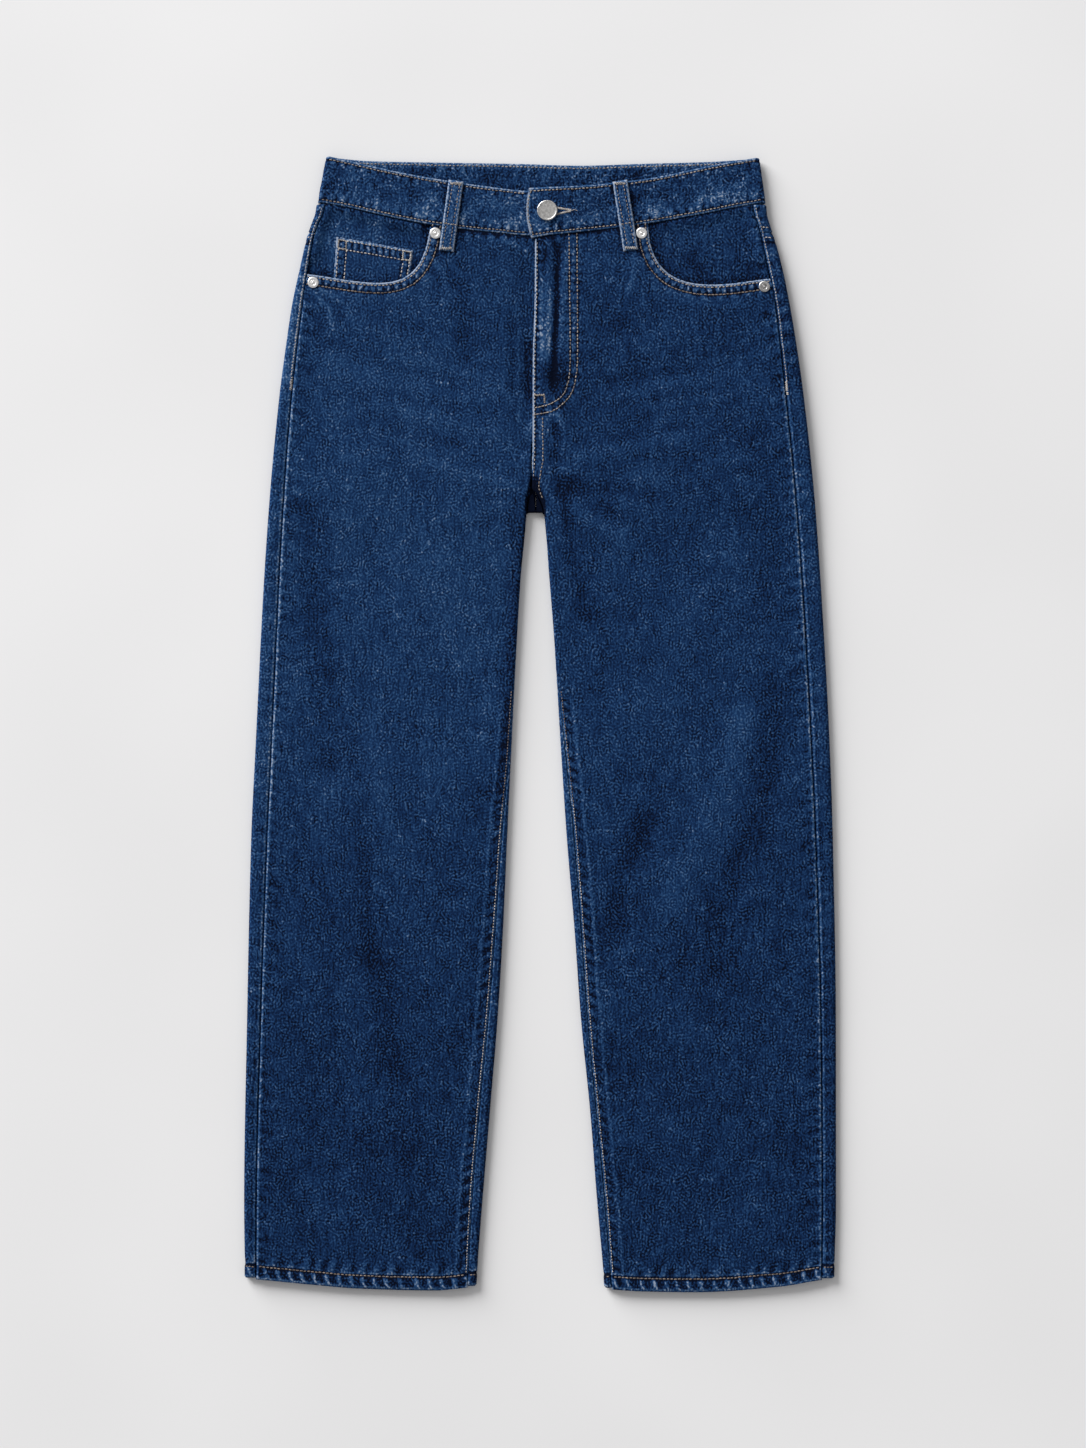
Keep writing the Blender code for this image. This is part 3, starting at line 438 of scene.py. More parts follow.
class Wiring:
    """Adds and links the nodes of one material."""

    def __init__(self, name: str) -> None:
        """Start a material that holds one principled shader."""
        self.material = bpy.data.materials.new(name)
        self.material.use_nodes = True
        self.tree = self.material.node_tree
        self.sockets = self.tree.nodes["Principled BSDF"].inputs

    def feed(self, socket: Socket, value: object) -> None:
        """Link an output to the socket, or set the socket to a value."""
        if isinstance(value, Socket):
            self.tree.links.new(value, socket)
        else:
            socket.default_value = value

    def add(self, kind: str, *values: object, **inputs: object) -> bpy.types.Node:
        """Add a node.

        Args:
            kind: The node's type.
            values: Values or outputs for its first inputs.
            inputs: Values or outputs for its inputs by name.

        Returns:
            The node.
        """
        node = self.tree.nodes.new(f"ShaderNode{kind}")
        for socket, value in zip(node.inputs, values):
            self.feed(socket, value)
        for name, value in inputs.items():
            self.feed(node.inputs[name], value)
        return node

    def place(self, scale: Colour = (1, 1, 1)) -> Socket:
        """Coordinates fixed to the piece, stretched by a scale."""
        spot = self.add("TexCoord").outputs["Object"]
        return self.add("Mapping", Vector=spot, Scale=scale).outputs["Vector"]

    def noise(self, pitch: float, detail: float = 0, stretch: Colour = (1, 1, 1)) -> Socket:
        """Noise from about 0 to 1, with features of a pitch in millimetres."""
        place = self.place(stretch)
        return self.add("TexNoise", Vector=place, Scale=1 / (pitch * MM), Detail=detail).outputs["Fac"]

    def swing(self, pitch: float, detail: float = 0, stretch: Colour = (1, 1, 1)) -> Socket:
        """The same noise, about -0.5 to 0.5."""
        return self.maths("SUBTRACT", self.noise(pitch, detail, stretch), 0.5)

    def threads(self, pitch: float, order: float, stretch: Colour) -> Socket:
        """A maze of short curved lines.

        Args:
            pitch: Distance between lines in millimetres.
            order: How long lines stay beside each other.
            stretch: Scale of each axis before the maze is read.

        Returns:
            The height of the maze, about 0.3 to 0.7.
        """
        place, scale = self.place(stretch), 1 / (pitch * order * MM)
        node = self.add("TexGabor", Vector=place, Scale=scale, Frequency=order, Anisotropy=0)
        return node.outputs["Value"]

    def maths(self, kind: str, first: object, second: object = 0) -> Socket:
        """Combine two values or outputs by one operation."""
        node = self.add("Math", first, second)
        node.operation = kind
        return node.outputs["Value"]

    def times(self, first: object, second: object) -> Socket:
        """Multiply two values or outputs."""
        return self.maths("MULTIPLY", first, second)

    def remap(self, value: object, low: float, high: float, to: Point = (0, 1)) -> Socket:
        """Ease a value from one range into another."""
        node = self.add("MapRange", value, low, high, *to)
        node.interpolation_type = "SMOOTHSTEP"
        return node.outputs["Result"]

    def total(self, *terms: tuple[object, float]) -> Socket:
        """Sum of outputs, each times its weight."""
        result: object = 0.0
        for value, weight in terms:
            result = self.maths("ADD", result, self.times(value, weight))
        return result

    def attribute(self, name: str) -> Socket:
        """A value that is stored on the piece's points."""
        node = self.tree.nodes.new("ShaderNodeAttribute")
        node.attribute_name = name
        return node.outputs["Fac"]

    def colour(self, value: object, *stops: tuple[float, Colour]) -> None:
        """Colour the surface.

        Args:
            value: What picks the colour.
            stops: (value, colour) pairs in order.
        """
        node = self.add("ValToRGB", Fac=value)
        elements = node.color_ramp.elements
        while len(elements) < len(stops):
            elements.new(0.5)
        for element, (place, colour) in zip(elements, stops):
            element.position, element.color = place, (*colour, 1)
        self.feed(self.sockets["Base Color"], node.outputs["Color"])

    def bump(self, height: object, strength: float, distance: float) -> None:
        """Roughen the surface by a height, in millimetres."""
        node = self.add("Bump", Height=height, Strength=strength, Distance=distance * MM)
        self.feed(self.sockets["Normal"], node.outputs["Normal"])

    def gloss(self, roughness: float, specular: float) -> None:
        """Set the shader's constant gloss."""
        self.sockets["Roughness"].default_value = roughness
        self.sockets["Specular IOR Level"].default_value = specular


@dataclass(frozen=True)
class WashedDenim:
    """Stonewashed indigo twill: a fine maze of light threads, paler where it is worn."""

    shades: tuple[tuple[float, Colour], ...] = (
        (0, (0.0007, 0.0025, 0.011)),
        (0.2, (0.0035, 0.0165, 0.06)),
        (0.4, (0.0086, 0.035, 0.106)),
        (0.6, (0.0225, 0.069, 0.168)),
        (0.8, (0.059, 0.114, 0.214)),
        (1, (0.22, 0.27, 0.36)),
    )
    maze: float = 0.46  # contrast of the fine threads
    strays: float = 0.20  # how much paler the stray threads are
    scratches: float = 0.25
    grain: float = 0.38
    slub: float = 0.55
    clouds: float = 0.20
    ground: float = 0.093  # how much darker the ground is than the cloth with its threads

    def material(self) -> Material:
        """Build the node material."""
        w = Wiring("washed_denim")
        maze = w.remap(w.threads(2.85, 1.7, (1.04, 0.94, 1)), 0.45, 0.64, (-0.28, 0.62))
        maze = w.times(maze, w.remap(w.noise(9, 1), 0.36, 0.62, (0.45, 1)))
        stray = w.remap(w.threads(4.2, 1.8, (1.06, 0.88, 1)), 0.545, 0.62)
        stray = w.times(stray, w.remap(w.noise(12, 1, (0.9, 1.1, 1)), 0.38, 0.6, (0.2, 1)))
        line = w.maths("ABSOLUTE", w.swing(15, 1, (1.2, 0.8, 1)))
        scratch = w.times(w.remap(line, 0, 0.018, (1, 0)), w.remap(w.noise(11), 0.5, 0.62))
        hair = w.maths("ABSOLUTE", w.swing(8, 2, (0.8, 1.25, 1)))
        hair = w.times(w.remap(hair, 0, 0.045, (1, -0.2)), w.attribute("frost"))
        grain, slub = w.swing(1, 1, (1, 0.72, 1)), w.swing(1.4, 1, (1, 0.11, 1))
        cloud = w.swing(20, 2, (1, 0.5, 1))
        worn = w.times(w.attribute("wear"), w.remap(w.noise(2.2, 2), 0.3, 0.66, (0.55, 1.35)))
        turn = w.total((w.attribute("phase"), 2 * pi), (w.noise(7, 1), 5))
        rungs = w.maths("SUBTRACT", w.remap(w.maths("SINE", turn), -0.5, 0.7), 0.45)
        rungs = w.times(rungs, w.attribute("beat"))
        fade = w.total(
            (w.attribute("shade"), 1), (rungs, 1), (maze, self.maze), (stray, self.strays),
            (scratch, self.scratches), (hair, 1), (grain, self.grain), (slub, self.slub),
            (cloud, self.clouds), (worn, 1), (1, -self.ground),
        )
        w.colour(fade, *self.shades)
        w.gloss(roughness=0.95, specular=0.07)
        w.bump(w.total((maze, 0.45), (stray, 0.5), (grain, 0.9)), 0.6, 0.35)
        return w.material


@dataclass(frozen=True)
class SewingThread:
    """Spun thread, darkened and bleached unevenly by the wash."""

    name: str
    dark: Colour
    light: Colour

    def material(self) -> Material:
        """Build the node material."""
        w = Wiring(self.name)
        tone = w.total((w.noise(3.1, 1), 0.7), (w.noise(0.5), 0.5), (w.noise(30, 1), 0.4))
        w.colour(w.remap(tone, 0.5, 1.15), (0, self.dark), (1, self.light))
        w.gloss(roughness=0.8, specular=0.2)
        w.bump(w.noise(0.35), 0.5, 0.15)
        return w.material


@dataclass(frozen=True)
class BrushedNickel:
    """Slightly tarnished plate with fine scratches."""

    name: str
    light: Colour
    dark: Colour

    def material(self) -> Material:
        """Build the node material."""
        w = Wiring(self.name)
        stain = w.total((w.noise(2.4, 3), 0.7), (w.noise(0.3, 1, (1, 3, 1)), 0.3))
        w.colour(w.remap(stain, 0.32, 0.62), (0, self.dark), (1, self.light))
        w.feed(w.sockets["Roughness"], w.remap(w.noise(0.6, 2), 0.3, 0.7, (0.28, 0.5)))
        w.sockets["Metallic"].default_value = 1.0
        w.bump(w.noise(0.4, 2, (1, 4, 1)), 0.25, 0.05)
        return w.material


@dataclass(frozen=True)
class WovenTape:
    """Dark navy ribbed tape."""

    colour: Colour = (0.010, 0.016, 0.034)
    rib: Colour = (0.022, 0.032, 0.060)

    def material(self) -> Material:
        """Build the node material."""
        w = Wiring("woven_tape")
        wave = w.add("TexWave", Vector=w.place(), Scale=140, Distortion=1.2)
        rib = w.total((wave.outputs["Fac"], 0.7), (w.noise(0.8, 1), 0.3))
        w.colour(rib, (0.2, self.colour), (0.8, self.rib))
        w.gloss(roughness=0.85, specular=0.15)
        w.bump(rib, 0.5, 0.3)
        return w.material


@dataclass(frozen=True)
class StudioPaper:
    """Matt off-white paper that the jeans lie on."""

    low: Colour = (0.775, 0.772, 0.775)
    high: Colour = (0.80, 0.797, 0.80)

    def material(self) -> Material:
        """Build the node material."""
        w = Wiring("studio_paper")
        w.colour(w.noise(260, 1), (0.35, self.low), (0.65, self.high))
        w.gloss(roughness=0.9, specular=0.1)
        return w.material


class Dyehouse:
    """Every finish of the jeans, each built once."""

    def __init__(self) -> None:
        """Build the materials."""
        self.denim = WashedDenim().material()
        self.tan = SewingThread("tan_thread", (0.085, 0.072, 0.067), (0.43, 0.375, 0.32)).material()
        self.brown = SewingThread("brown_thread", (0.042, 0.034, 0.035), (0.28, 0.23, 0.195)).material()
        self.pale = SewingThread("pale_thread", (0.15, 0.14, 0.14), (0.6, 0.56, 0.52)).material()
        self.nickel = BrushedNickel("brushed_nickel", (0.72, 0.71, 0.69), (0.47, 0.46, 0.45)).material()
        self.bright = BrushedNickel("bright_nickel", (0.98, 0.97, 0.96), (0.8, 0.79, 0.78)).material()
        # a darker copy of the rivets' nickel: painted shade for the side rivet that turns away
        self.painted_shade_nickel = BrushedNickel("rivet_nickel_painted_shade", (0.56, 0.55, 0.54), (0.36, 0.355, 0.35)).material()
        self.tape = WovenTape().material()


# ---- cloth


class Relief:
    """Height, wear and shade worked into the face of a piece, over its grid of points."""

    def __init__(self, shape: tuple[int, int]) -> None:
        """Start with a plain face."""
        self.height, self.roll, self.wear, self.shade = np.zeros((4, *shape))
        self.beat, self.phase, self.frost = np.zeros((3, *shape))

    def round_edge(self, away: Array, roll: float = SEAM_ROLL) -> None:
        """Round the cloth off towards an edge with a radius."""
        inside = np.clip(roll - away, 0, roll)
        self.roll = np.minimum(self.roll, np.sqrt(roll**2 - inside**2) - roll)

    def bed(self, away: Array, at: float, depth: float = 0.3, width: float = 1) -> None:
        """Press a row of stitching into the cloth, at a distance from an edge, with painted shade along its
        groove.
        """
        self.height -= depth * bell(away - at, width)
        # painted shade along the pressed groove of the row
        self.shade -= 0.7 * depth * bell(away - at, width)

    def line(self, away: Array, at: float, width: float, light: float) -> None:
        """Lighten or darken a thin line at a distance from an edge."""
        self.wear += light * bell(away - at, width)

    def ladder(
        self, away: Array, along: Array, pitch: float, seed: int, reach: float, height: float,
        light: float, slant: float = 0,
    ) -> None:
        """Add the creases that a seam pulls into the cloth beside it.

        Args:
            away: Distance from the seam.
            along: Distance along it.
            pitch: Mean distance between creases.
            seed: Seed of their unevenness.
            reach: How far they run.
            height: Height of the crests.
            light: How much paler the crests are.
            slant: How far they lean along the seam for each millimetre.
        """
        place = along + slant * away
        wave = pucker(place, pitch, seed)
        fray = 0.75 + 0.45 * Ripple(seed + 7, pitch * 0.8, 1)(place, 0)
        end = reach * 1.25 * np.maximum(fray, 0.4)
        strength = ease(away, 0.2, 1.6) * fall(away, reach * 0.35, end)
        self.height += height * wave * strength
        self.wear += light * np.where(wave > 0, wave, 0.8 * wave) * strength

    def rungs(
        self, away: Array, along: Array, pitch: float, middle: float, width: float, light: float
    ) -> None:
        """Ask the finish for pale and dark cells in a strip between two rows.

        Args:
            away: Distance from the edge.
            along: Distance along it.
            pitch: Length of a cell.
            middle: Distance of the strip from the edge.
            width: Half its width.
            light: Contrast of the cells.
        """
        mask = light * bell(away - middle, width)
        self.phase = np.where(mask > self.beat, along / pitch, self.phase)
        self.beat = np.maximum(mask, self.beat)

    def weather(self, light: float = 0.55, dark: float = 0.45) -> None:
        """Pale the crests and keep the hollows dark."""
        ridge = self.height - blurred(self.height, 3)
        self.wear += np.where(ridge > 0, light * ridge, dark * ridge)

    def hem(self, gap: Array, x: Array, seed: int) -> None:
        """Turn up a hem: slanted ropes below its stitching, pale flames above it, and painted shade along
        the stitching's groove.

        Args:
            gap: Distance from the hem's edge.
            x: X of each point.
            seed: Seed of its unevenness.
        """
        self.round_edge(gap, FREE_ROLL)
        self.height += 0.55 * fall(gap, 10.5, 13)
        self.bed(gap, HEM_DEPTH, 0.55, 1.5)
        phase = x + 0.18 * gap - 2.5 * fall(gap, 1, 5)
        drift = Ripple(seed + 21, 34, 1)(phase, 0)
        turn = pi * (phase / 11 + 0.25 * drift)
        swell = 0.85 + 0.25 * Ripple(seed + 22, 17, 1)(phase, 0)
        rope = np.exp(-((np.sin(turn) / 0.42) ** 2)) * swell
        body = ease(gap, 1.2, 3.2) * fall(gap, 9.2, 11.2)
        self.height += 0.46 * (rope - 0.45) * body
        self.wear += (0.74 * rope - 0.2) * body
        self.shade += 0.14 * bell(gap - 1.6, 2.4)
        self.line(gap, 1.5, 0.9, 0.3)
        # painted shade along the groove of the hem's stitching
        self.shade -= 0.2 * bell(gap - 11.4, 0.8)
        self.line(gap, 13.6, 0.9, 0.52)
        self.ladder(np.maximum(gap - HEM_DEPTH, 0), phase, 14, seed + 23, 14, 0.3, 0.15, -0.5)


def blurred(values: Array, times: int) -> Array:
    """A grid smoothed by repeated averaging with its neighbours."""
    for _ in range(times):
        for axis in (0, 1):
            padded = np.pad(values, [(2, 2) if k == axis else (0, 0) for k in (0, 1)], mode="edge")
            parts = [np.take(padded, range(i, i + values.shape[axis]), axis=axis) for i in range(5)]
            values = sum(parts) / 5
    return values


def run_along(grid: Array, axis: int) -> Array:
    """Distance of each point from the first one of its row (axis 1) or column (axis 0)."""
    step = np.linalg.norm(np.diff(grid, axis=axis), axis=2)
    zero = np.zeros_like(np.take(step, [0], axis=axis))
    return np.concatenate([zero, np.cumsum(step, axis=axis)], axis=axis)


def creases(marks: Table, x: Array, y: Array) -> Array:
    """Soft ridges and troughs laid along lines.

    Args:
        marks: Width and strength of each, then x and y along its line.
        x: X of each point.
        y: Y of each point.

    Returns:
        Their strength at each point.
    """
    total = np.zeros(np.broadcast(x, y).shape)
    for width, strength, *line in marks:
        near = np.zeros(total.shape)
        for x0, y0, x1, y1 in zip(line[::2], line[1::2], line[2::2], line[3::2]):
            along = (x - x0) * (x1 - x0) + (y - y0) * (y1 - y0)
            t = np.clip(along / ((x1 - x0) ** 2 + (y1 - y0) ** 2), 0, 1)
            gap = np.hypot(x - x0 - t * (x1 - x0), y - y0 - t * (y1 - y0))
            near = np.maximum(near, bell(gap, width))
        total += strength * near
    return total


# Soft ridges (above 0) and troughs: width, height, then x and y along a line.
FOLDS = (
    (8, 0.35, 30, 190, 80, 160), (8, -0.4, 24, 212, 100, 204), (7, 0.3, 36, 236, 140, 254),
    (7, 0.3, -26, 212, -90, 226), (8, -0.3, -24, 186, -66, 172), (8, 0.3, -40, 256, -140, 280),
    (7, 0.25, -70, 334, -170, 352), (7, 0.25, 70, 330, 170, 346), (7, -0.25, 60, 302, 166, 318),
    (7, -0.25, -60, 300, -166, 320),
)

# Painted shade along troughs (below 0) and beside the fly's edge, and painted light along ridges, with some
# pale creases of the wash: width, shade, then x and y along a line.
FADES_AND_FOLD_SHADING = (
    (16, -0.085, -206, 190, -196, 100, -189, 40, -186, -30), (11, -0.055, -156, -80, -151, -200),
    (14, -0.07, -144, -210, -126, -305), (28, -0.04, -114, -365, -100, -440),
    (11, 0.05, -149, -10, -137, -85), (20, 0.03, -130, -115, -124, -165),
    (45, 0.025, -124, 170, -110, 70), (10, -0.075, -20, 176, -27, 60, -34, -60),
    (16, -0.04, -40, -60, -54, -250), (10, -0.1, 21, 206, 28, 150, 40, 100),
    (10, -0.07, 30, 214, 62, 186), (21, -0.05, 196, 240, 200, 140, 202, 60),
    (15, -0.09, 205, 30, 199, -50, 188, -105), (12, -0.085, 176, -120, 158, -165, 155, -215),
    (15, 0.085, 178, 5, 160, -55, 138, -105, 120, -155), (32, 0.04, 104, 70, 92, 0),
    (12, -0.09, 96, -85, 74, -125, 65, -175), (7, -0.07, 211, 332, 212, 300),
    (10, -0.06, -70, 400, -67, 322), (4, -0.12, -10.6, 336, -10.8, 286),
    (4, -0.05, -26, 360, -24, 296), (6, -0.1, 11, 262, 15, 204), (2.6, 0.11, -36, 427, -12, 418),
    (2.6, 0.1, -200, 380, -186, 366, -182, 348), (2.6, 0.08, -192, 382, -176, 372),
    (3, 0.06, -88, 402, -80, 378), (2.6, 0.05, -82, 410, -68, 394), (3, 0.06, 84, 408, 78, 380),
    (2.6, 0.11, -7, 266, -12, 252), (2.6, 0.1, 12, 276, 20, 262),
)

# Shade of the cloth by height for each half: the washed hips are palest, the hems darkest.
SHADES = {
    Side.RIGHT: Gauge((
        (-500, 0.265), (-430, 0.285), (-250, 0.295), (-60, 0.355), (150, 0.395), (330, 0.372), (500, 0.37),
    )),
    Side.LEFT: Gauge((
        (-500, 0.26), (-430, 0.275), (-250, 0.285), (-60, 0.33), (150, 0.345), (330, 0.325), (500, 0.33),
    )),
}


def drape(x: Array, y: Array) -> Array:
    """Soft unevenness of the upper side of the garment as it lies."""
    height = 0.38 * Ripple(3, 62, 95)(x, y) + 0.22 * Ripple(4, 30, 44)(x, y)
    height += 0.3 * Ripple(9, 120, 60)(x, y) * fall(y, 120, 260)
    height += creases(FOLDS, x, y) + 4.0 * creases(FADES_AND_FOLD_SHADING, x, y)
    return height * fall(y, 405, 435) * ease(y, -480, -455)


def wash(x: Array, y: Array) -> Array:
    """Shade of the washed cloth at each place, with a soft passage across the middle."""
    left = ease(x, -20, 30)
    tone = SHADES[Side.RIGHT](y) * (1 - left) + SHADES[Side.LEFT](y) * left
    return tone + 0.012 * Ripple(21, 70, 120)(x, y) + 0.02 * Ripple(22, 26, 34)(x, y)


def whiskers(x: Array, y: Array) -> Array:
    """Faint pale lines across the hips, dipping towards the fly."""
    out = np.abs(x + 4)
    wave = Ripple(31, 90, 8)(x, y - np.where(x > -4, 0.15, 0.22) * out)
    wave += 0.6 * Ripple(32, 60, 4.5)(x, y - 0.18 * out)
    return 0.045 * wave * ease(out, 14, 60) * fall(out, 170, 215) * ease(y, 200, 240) * fall(y, 335, 385)


def fork_painted_shade(x: Array, y: Array) -> Array:
    """How deep the painted shade of the hollow at the fork is at each place."""
    middle, half = -5.0 + 0.04 * (205 - y), 3.0 + 5.0 * fall(y, 190, 218)
    return 0.75 * fall(np.abs(x - middle), half - 1.5, half + 2.5) * ease(y, 176, 186) * fall(y, 212, 222)


def loop_painted_shadow(x: Array, y: Array) -> Array:
    """How deep the painted shadow that the front belt loops cast is at each place."""
    dark = np.zeros(np.broadcast(x, y).shape)
    for name in ("front_right", "front_left"):
        (x_top, y_top), (x_low, y_low) = LOOPS[name]
        share = (y_top - y) / (y_top - y_low)
        gap = x - (x_top + (x_low - x_top) * share)
        along = ease(share, -0.04, 0.04) * fall(share, 1, 1.06)
        after = 0.34 * bell(np.maximum(gap - 5.5, 0), 3.6)
        before = 0.26 * bell(np.minimum(gap + 5.5, 0), 3.8)
        dark += along * np.where(gap > 0, after, before)
    return dark


class Cloth(Relief):
    """One piece of cloth: a grid of points on its outer face, its relief, and its wall below.

    `side`, `inner`, `top` and `low` are each point's distances from the first and the last
    column, and from the first and the last row.
    """

    INNER_SHARES = {"wear": 0.3, "shade": 1, "beat": 0, "phase": 1, "frost": 0.0}

    def __init__(self, grid: Array, wall: Number, looks_up: bool) -> None:
        """Take the outer face.

        Args:
            grid: Rows and columns of points.
            wall: Thickness below them.
            looks_up: Whether most of the face looks up.
        """
        super().__init__(grid.shape[:2])
        self.grid, self.wall = grid, np.broadcast_to(wall, grid.shape[:2])
        self.x, self.y = grid[..., 0], grid[..., 1]
        normal = np.cross(np.gradient(grid, axis=0), np.gradient(grid, axis=1))
        self.normal = normal / np.maximum(np.linalg.norm(normal, axis=2, keepdims=True), 1e-9)
        self.flipped = (self.normal[..., 2].mean() > 0) != looks_up
        if self.flipped:
            self.normal = -self.normal
        self.side, self.top = run_along(grid, 1), run_along(grid, 0)
        self.inner, self.low = self.side[:, -1:] - self.side, self.top[-1:, :] - self.top

    def piece(self, name: str, material: Material) -> Object:
        """Close the piece and link it.

        Args:
            name: Name of the piece.
            material: Its finish.

        Returns:
            The object.
        """
        outer = self.grid + self.normal * (self.height + self.roll)[..., None]
        inner = self.grid - self.normal * self.wall[..., None]
        outer[..., 2] = np.maximum(outer[..., 2], 0)
        inner[..., 2] = np.maximum(inner[..., 2], 0.05)
        shape = self.grid.shape[:2]
        shift = shape[0] * shape[1]
        index = np.arange(shift).reshape(shape)
        face = np.stack([index[:-1, :-1], index[1:, :-1], index[1:, 1:], index[:-1, 1:]], axis=-1)
        face = face.reshape(-1, 4)
        rim = np.concatenate([index[:, 0], index[-1, 1:], index[-2::-1, -1], index[0, -2:0:-1]])
        after = np.roll(rim, -1)
        sides = np.stack([rim, rim + shift, after + shift, after], axis=-1)
        quads = np.concatenate([face, face[:, ::-1] + shift, sides])
        if self.flipped:
            quads = quads[:, ::-1]
        points = np.concatenate([outer.reshape(-1, 3), inner.reshape(-1, 3)])
        values = {
            field: np.concatenate([getattr(self, field).ravel() * part for part in (1, share)])
            for field, share in self.INNER_SHARES.items()
        }
        return link_mesh(name, points, quads.tolist(), material, values, sharp=55)


def link(name: str, data: bpy.types.ID) -> Object:
    """Put new data into the scene."""
    obj = bpy.data.objects.new(name, data)
    bpy.context.scene.collection.objects.link(obj)
    return obj


def link_mesh(
    name: str, points: Array, faces: list[list[int]], material: Material,
    values: dict[str, Array] | None = None, sharp: float = 40,
) -> Object:
    """Make a mesh piece that rides on the garment.

    Args:
        name: Name of the piece.
        points: Points in the layout, in millimetres.
        faces: Point numbers of each face.
        material: Its finish.
        values: Values stored on its points by name.
        sharp: Angle in degrees above which an edge looks sharp.

    Returns:
        The object.
    """
    mesh = bpy.data.meshes.new(name)
    mesh.from_pydata(to_frame(points).tolist(), [], faces)
    for label, numbers in (values or {}).items():
        mesh.attributes.new(label, "FLOAT", "POINT").data.foreach_set("value", numbers.astype(np.float32))
    mesh.shade_smooth()
    mesh.set_sharp_from_angle(angle=radians(sharp))
    mesh.materials.append(material)
    obj = link(name, mesh)
    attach(obj, "root")
    return obj


@dataclass(frozen=True)
class Ticket:
    """What a piece of cloth is called, stands for and lies on, and its flat size in metres."""

    piece: str
    node: str
    width: float
    length: float
    area: float
    rests_on: tuple[str, ...] = ()

    def pin(self, obj: Object) -> Object:
        """Hide the model's part that the piece stands for."""
        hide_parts(self.node)
        return obj


class Half:
    """Edges of one half of the garment, as outward distances from the centre line."""

    def __init__(self, side: Side) -> None:
        """Read the half's measurements."""
        self.fold, self.seam = gauges(OUTSEAMS[side])
        self.inner_seam, self.inner_fold = gauges(INSEAMS[side])
        self.waist, self.hem = gauges(WAIST_SEAMS[side])[0], gauges(HEMS[side])[0]
        opening = bezier(POCKET_CURVES[side], np.linspace(0, 1, 60))
        self.pocket = Path.through([(side.sign * x, y) for x, y in opening])


HALVES = {side: Half(side) for side in Side}


def hem_wall(gap: Array) -> Array:
    """Thickness of a leg's cloth at each distance from the hem's edge."""
    return DENIM + (HEM_WALL - DENIM) * fall(gap, HEM_DEPTH, HEM_DEPTH + 1.5)


@dataclass(frozen=True)
class ClothPart:
    """A piece of cloth. Each kind says how it is cut and how its face is worked."""

    ticket: Ticket

    def cut(self) -> Cloth:
        """Lay out its outer face."""
        raise NotImplementedError

    def shape(self, r: Cloth) -> None:
        """Work its relief, wear and shade."""
        raise NotImplementedError

    def build(self, denim: Material) -> Object:
        """Make the piece."""
        cloth = self.cut()
        self.shape(cloth)
        cloth.weather()
        return self.ticket.pin(cloth.piece(self.ticket.piece, denim))


@dataclass(frozen=True)
class HalfPart(ClothPart):
    """A piece of cloth of one half of the garment."""

    side: Side

    @property
    def half(self) -> Half:
        """Edges of its half."""
        return HALVES[self.side]


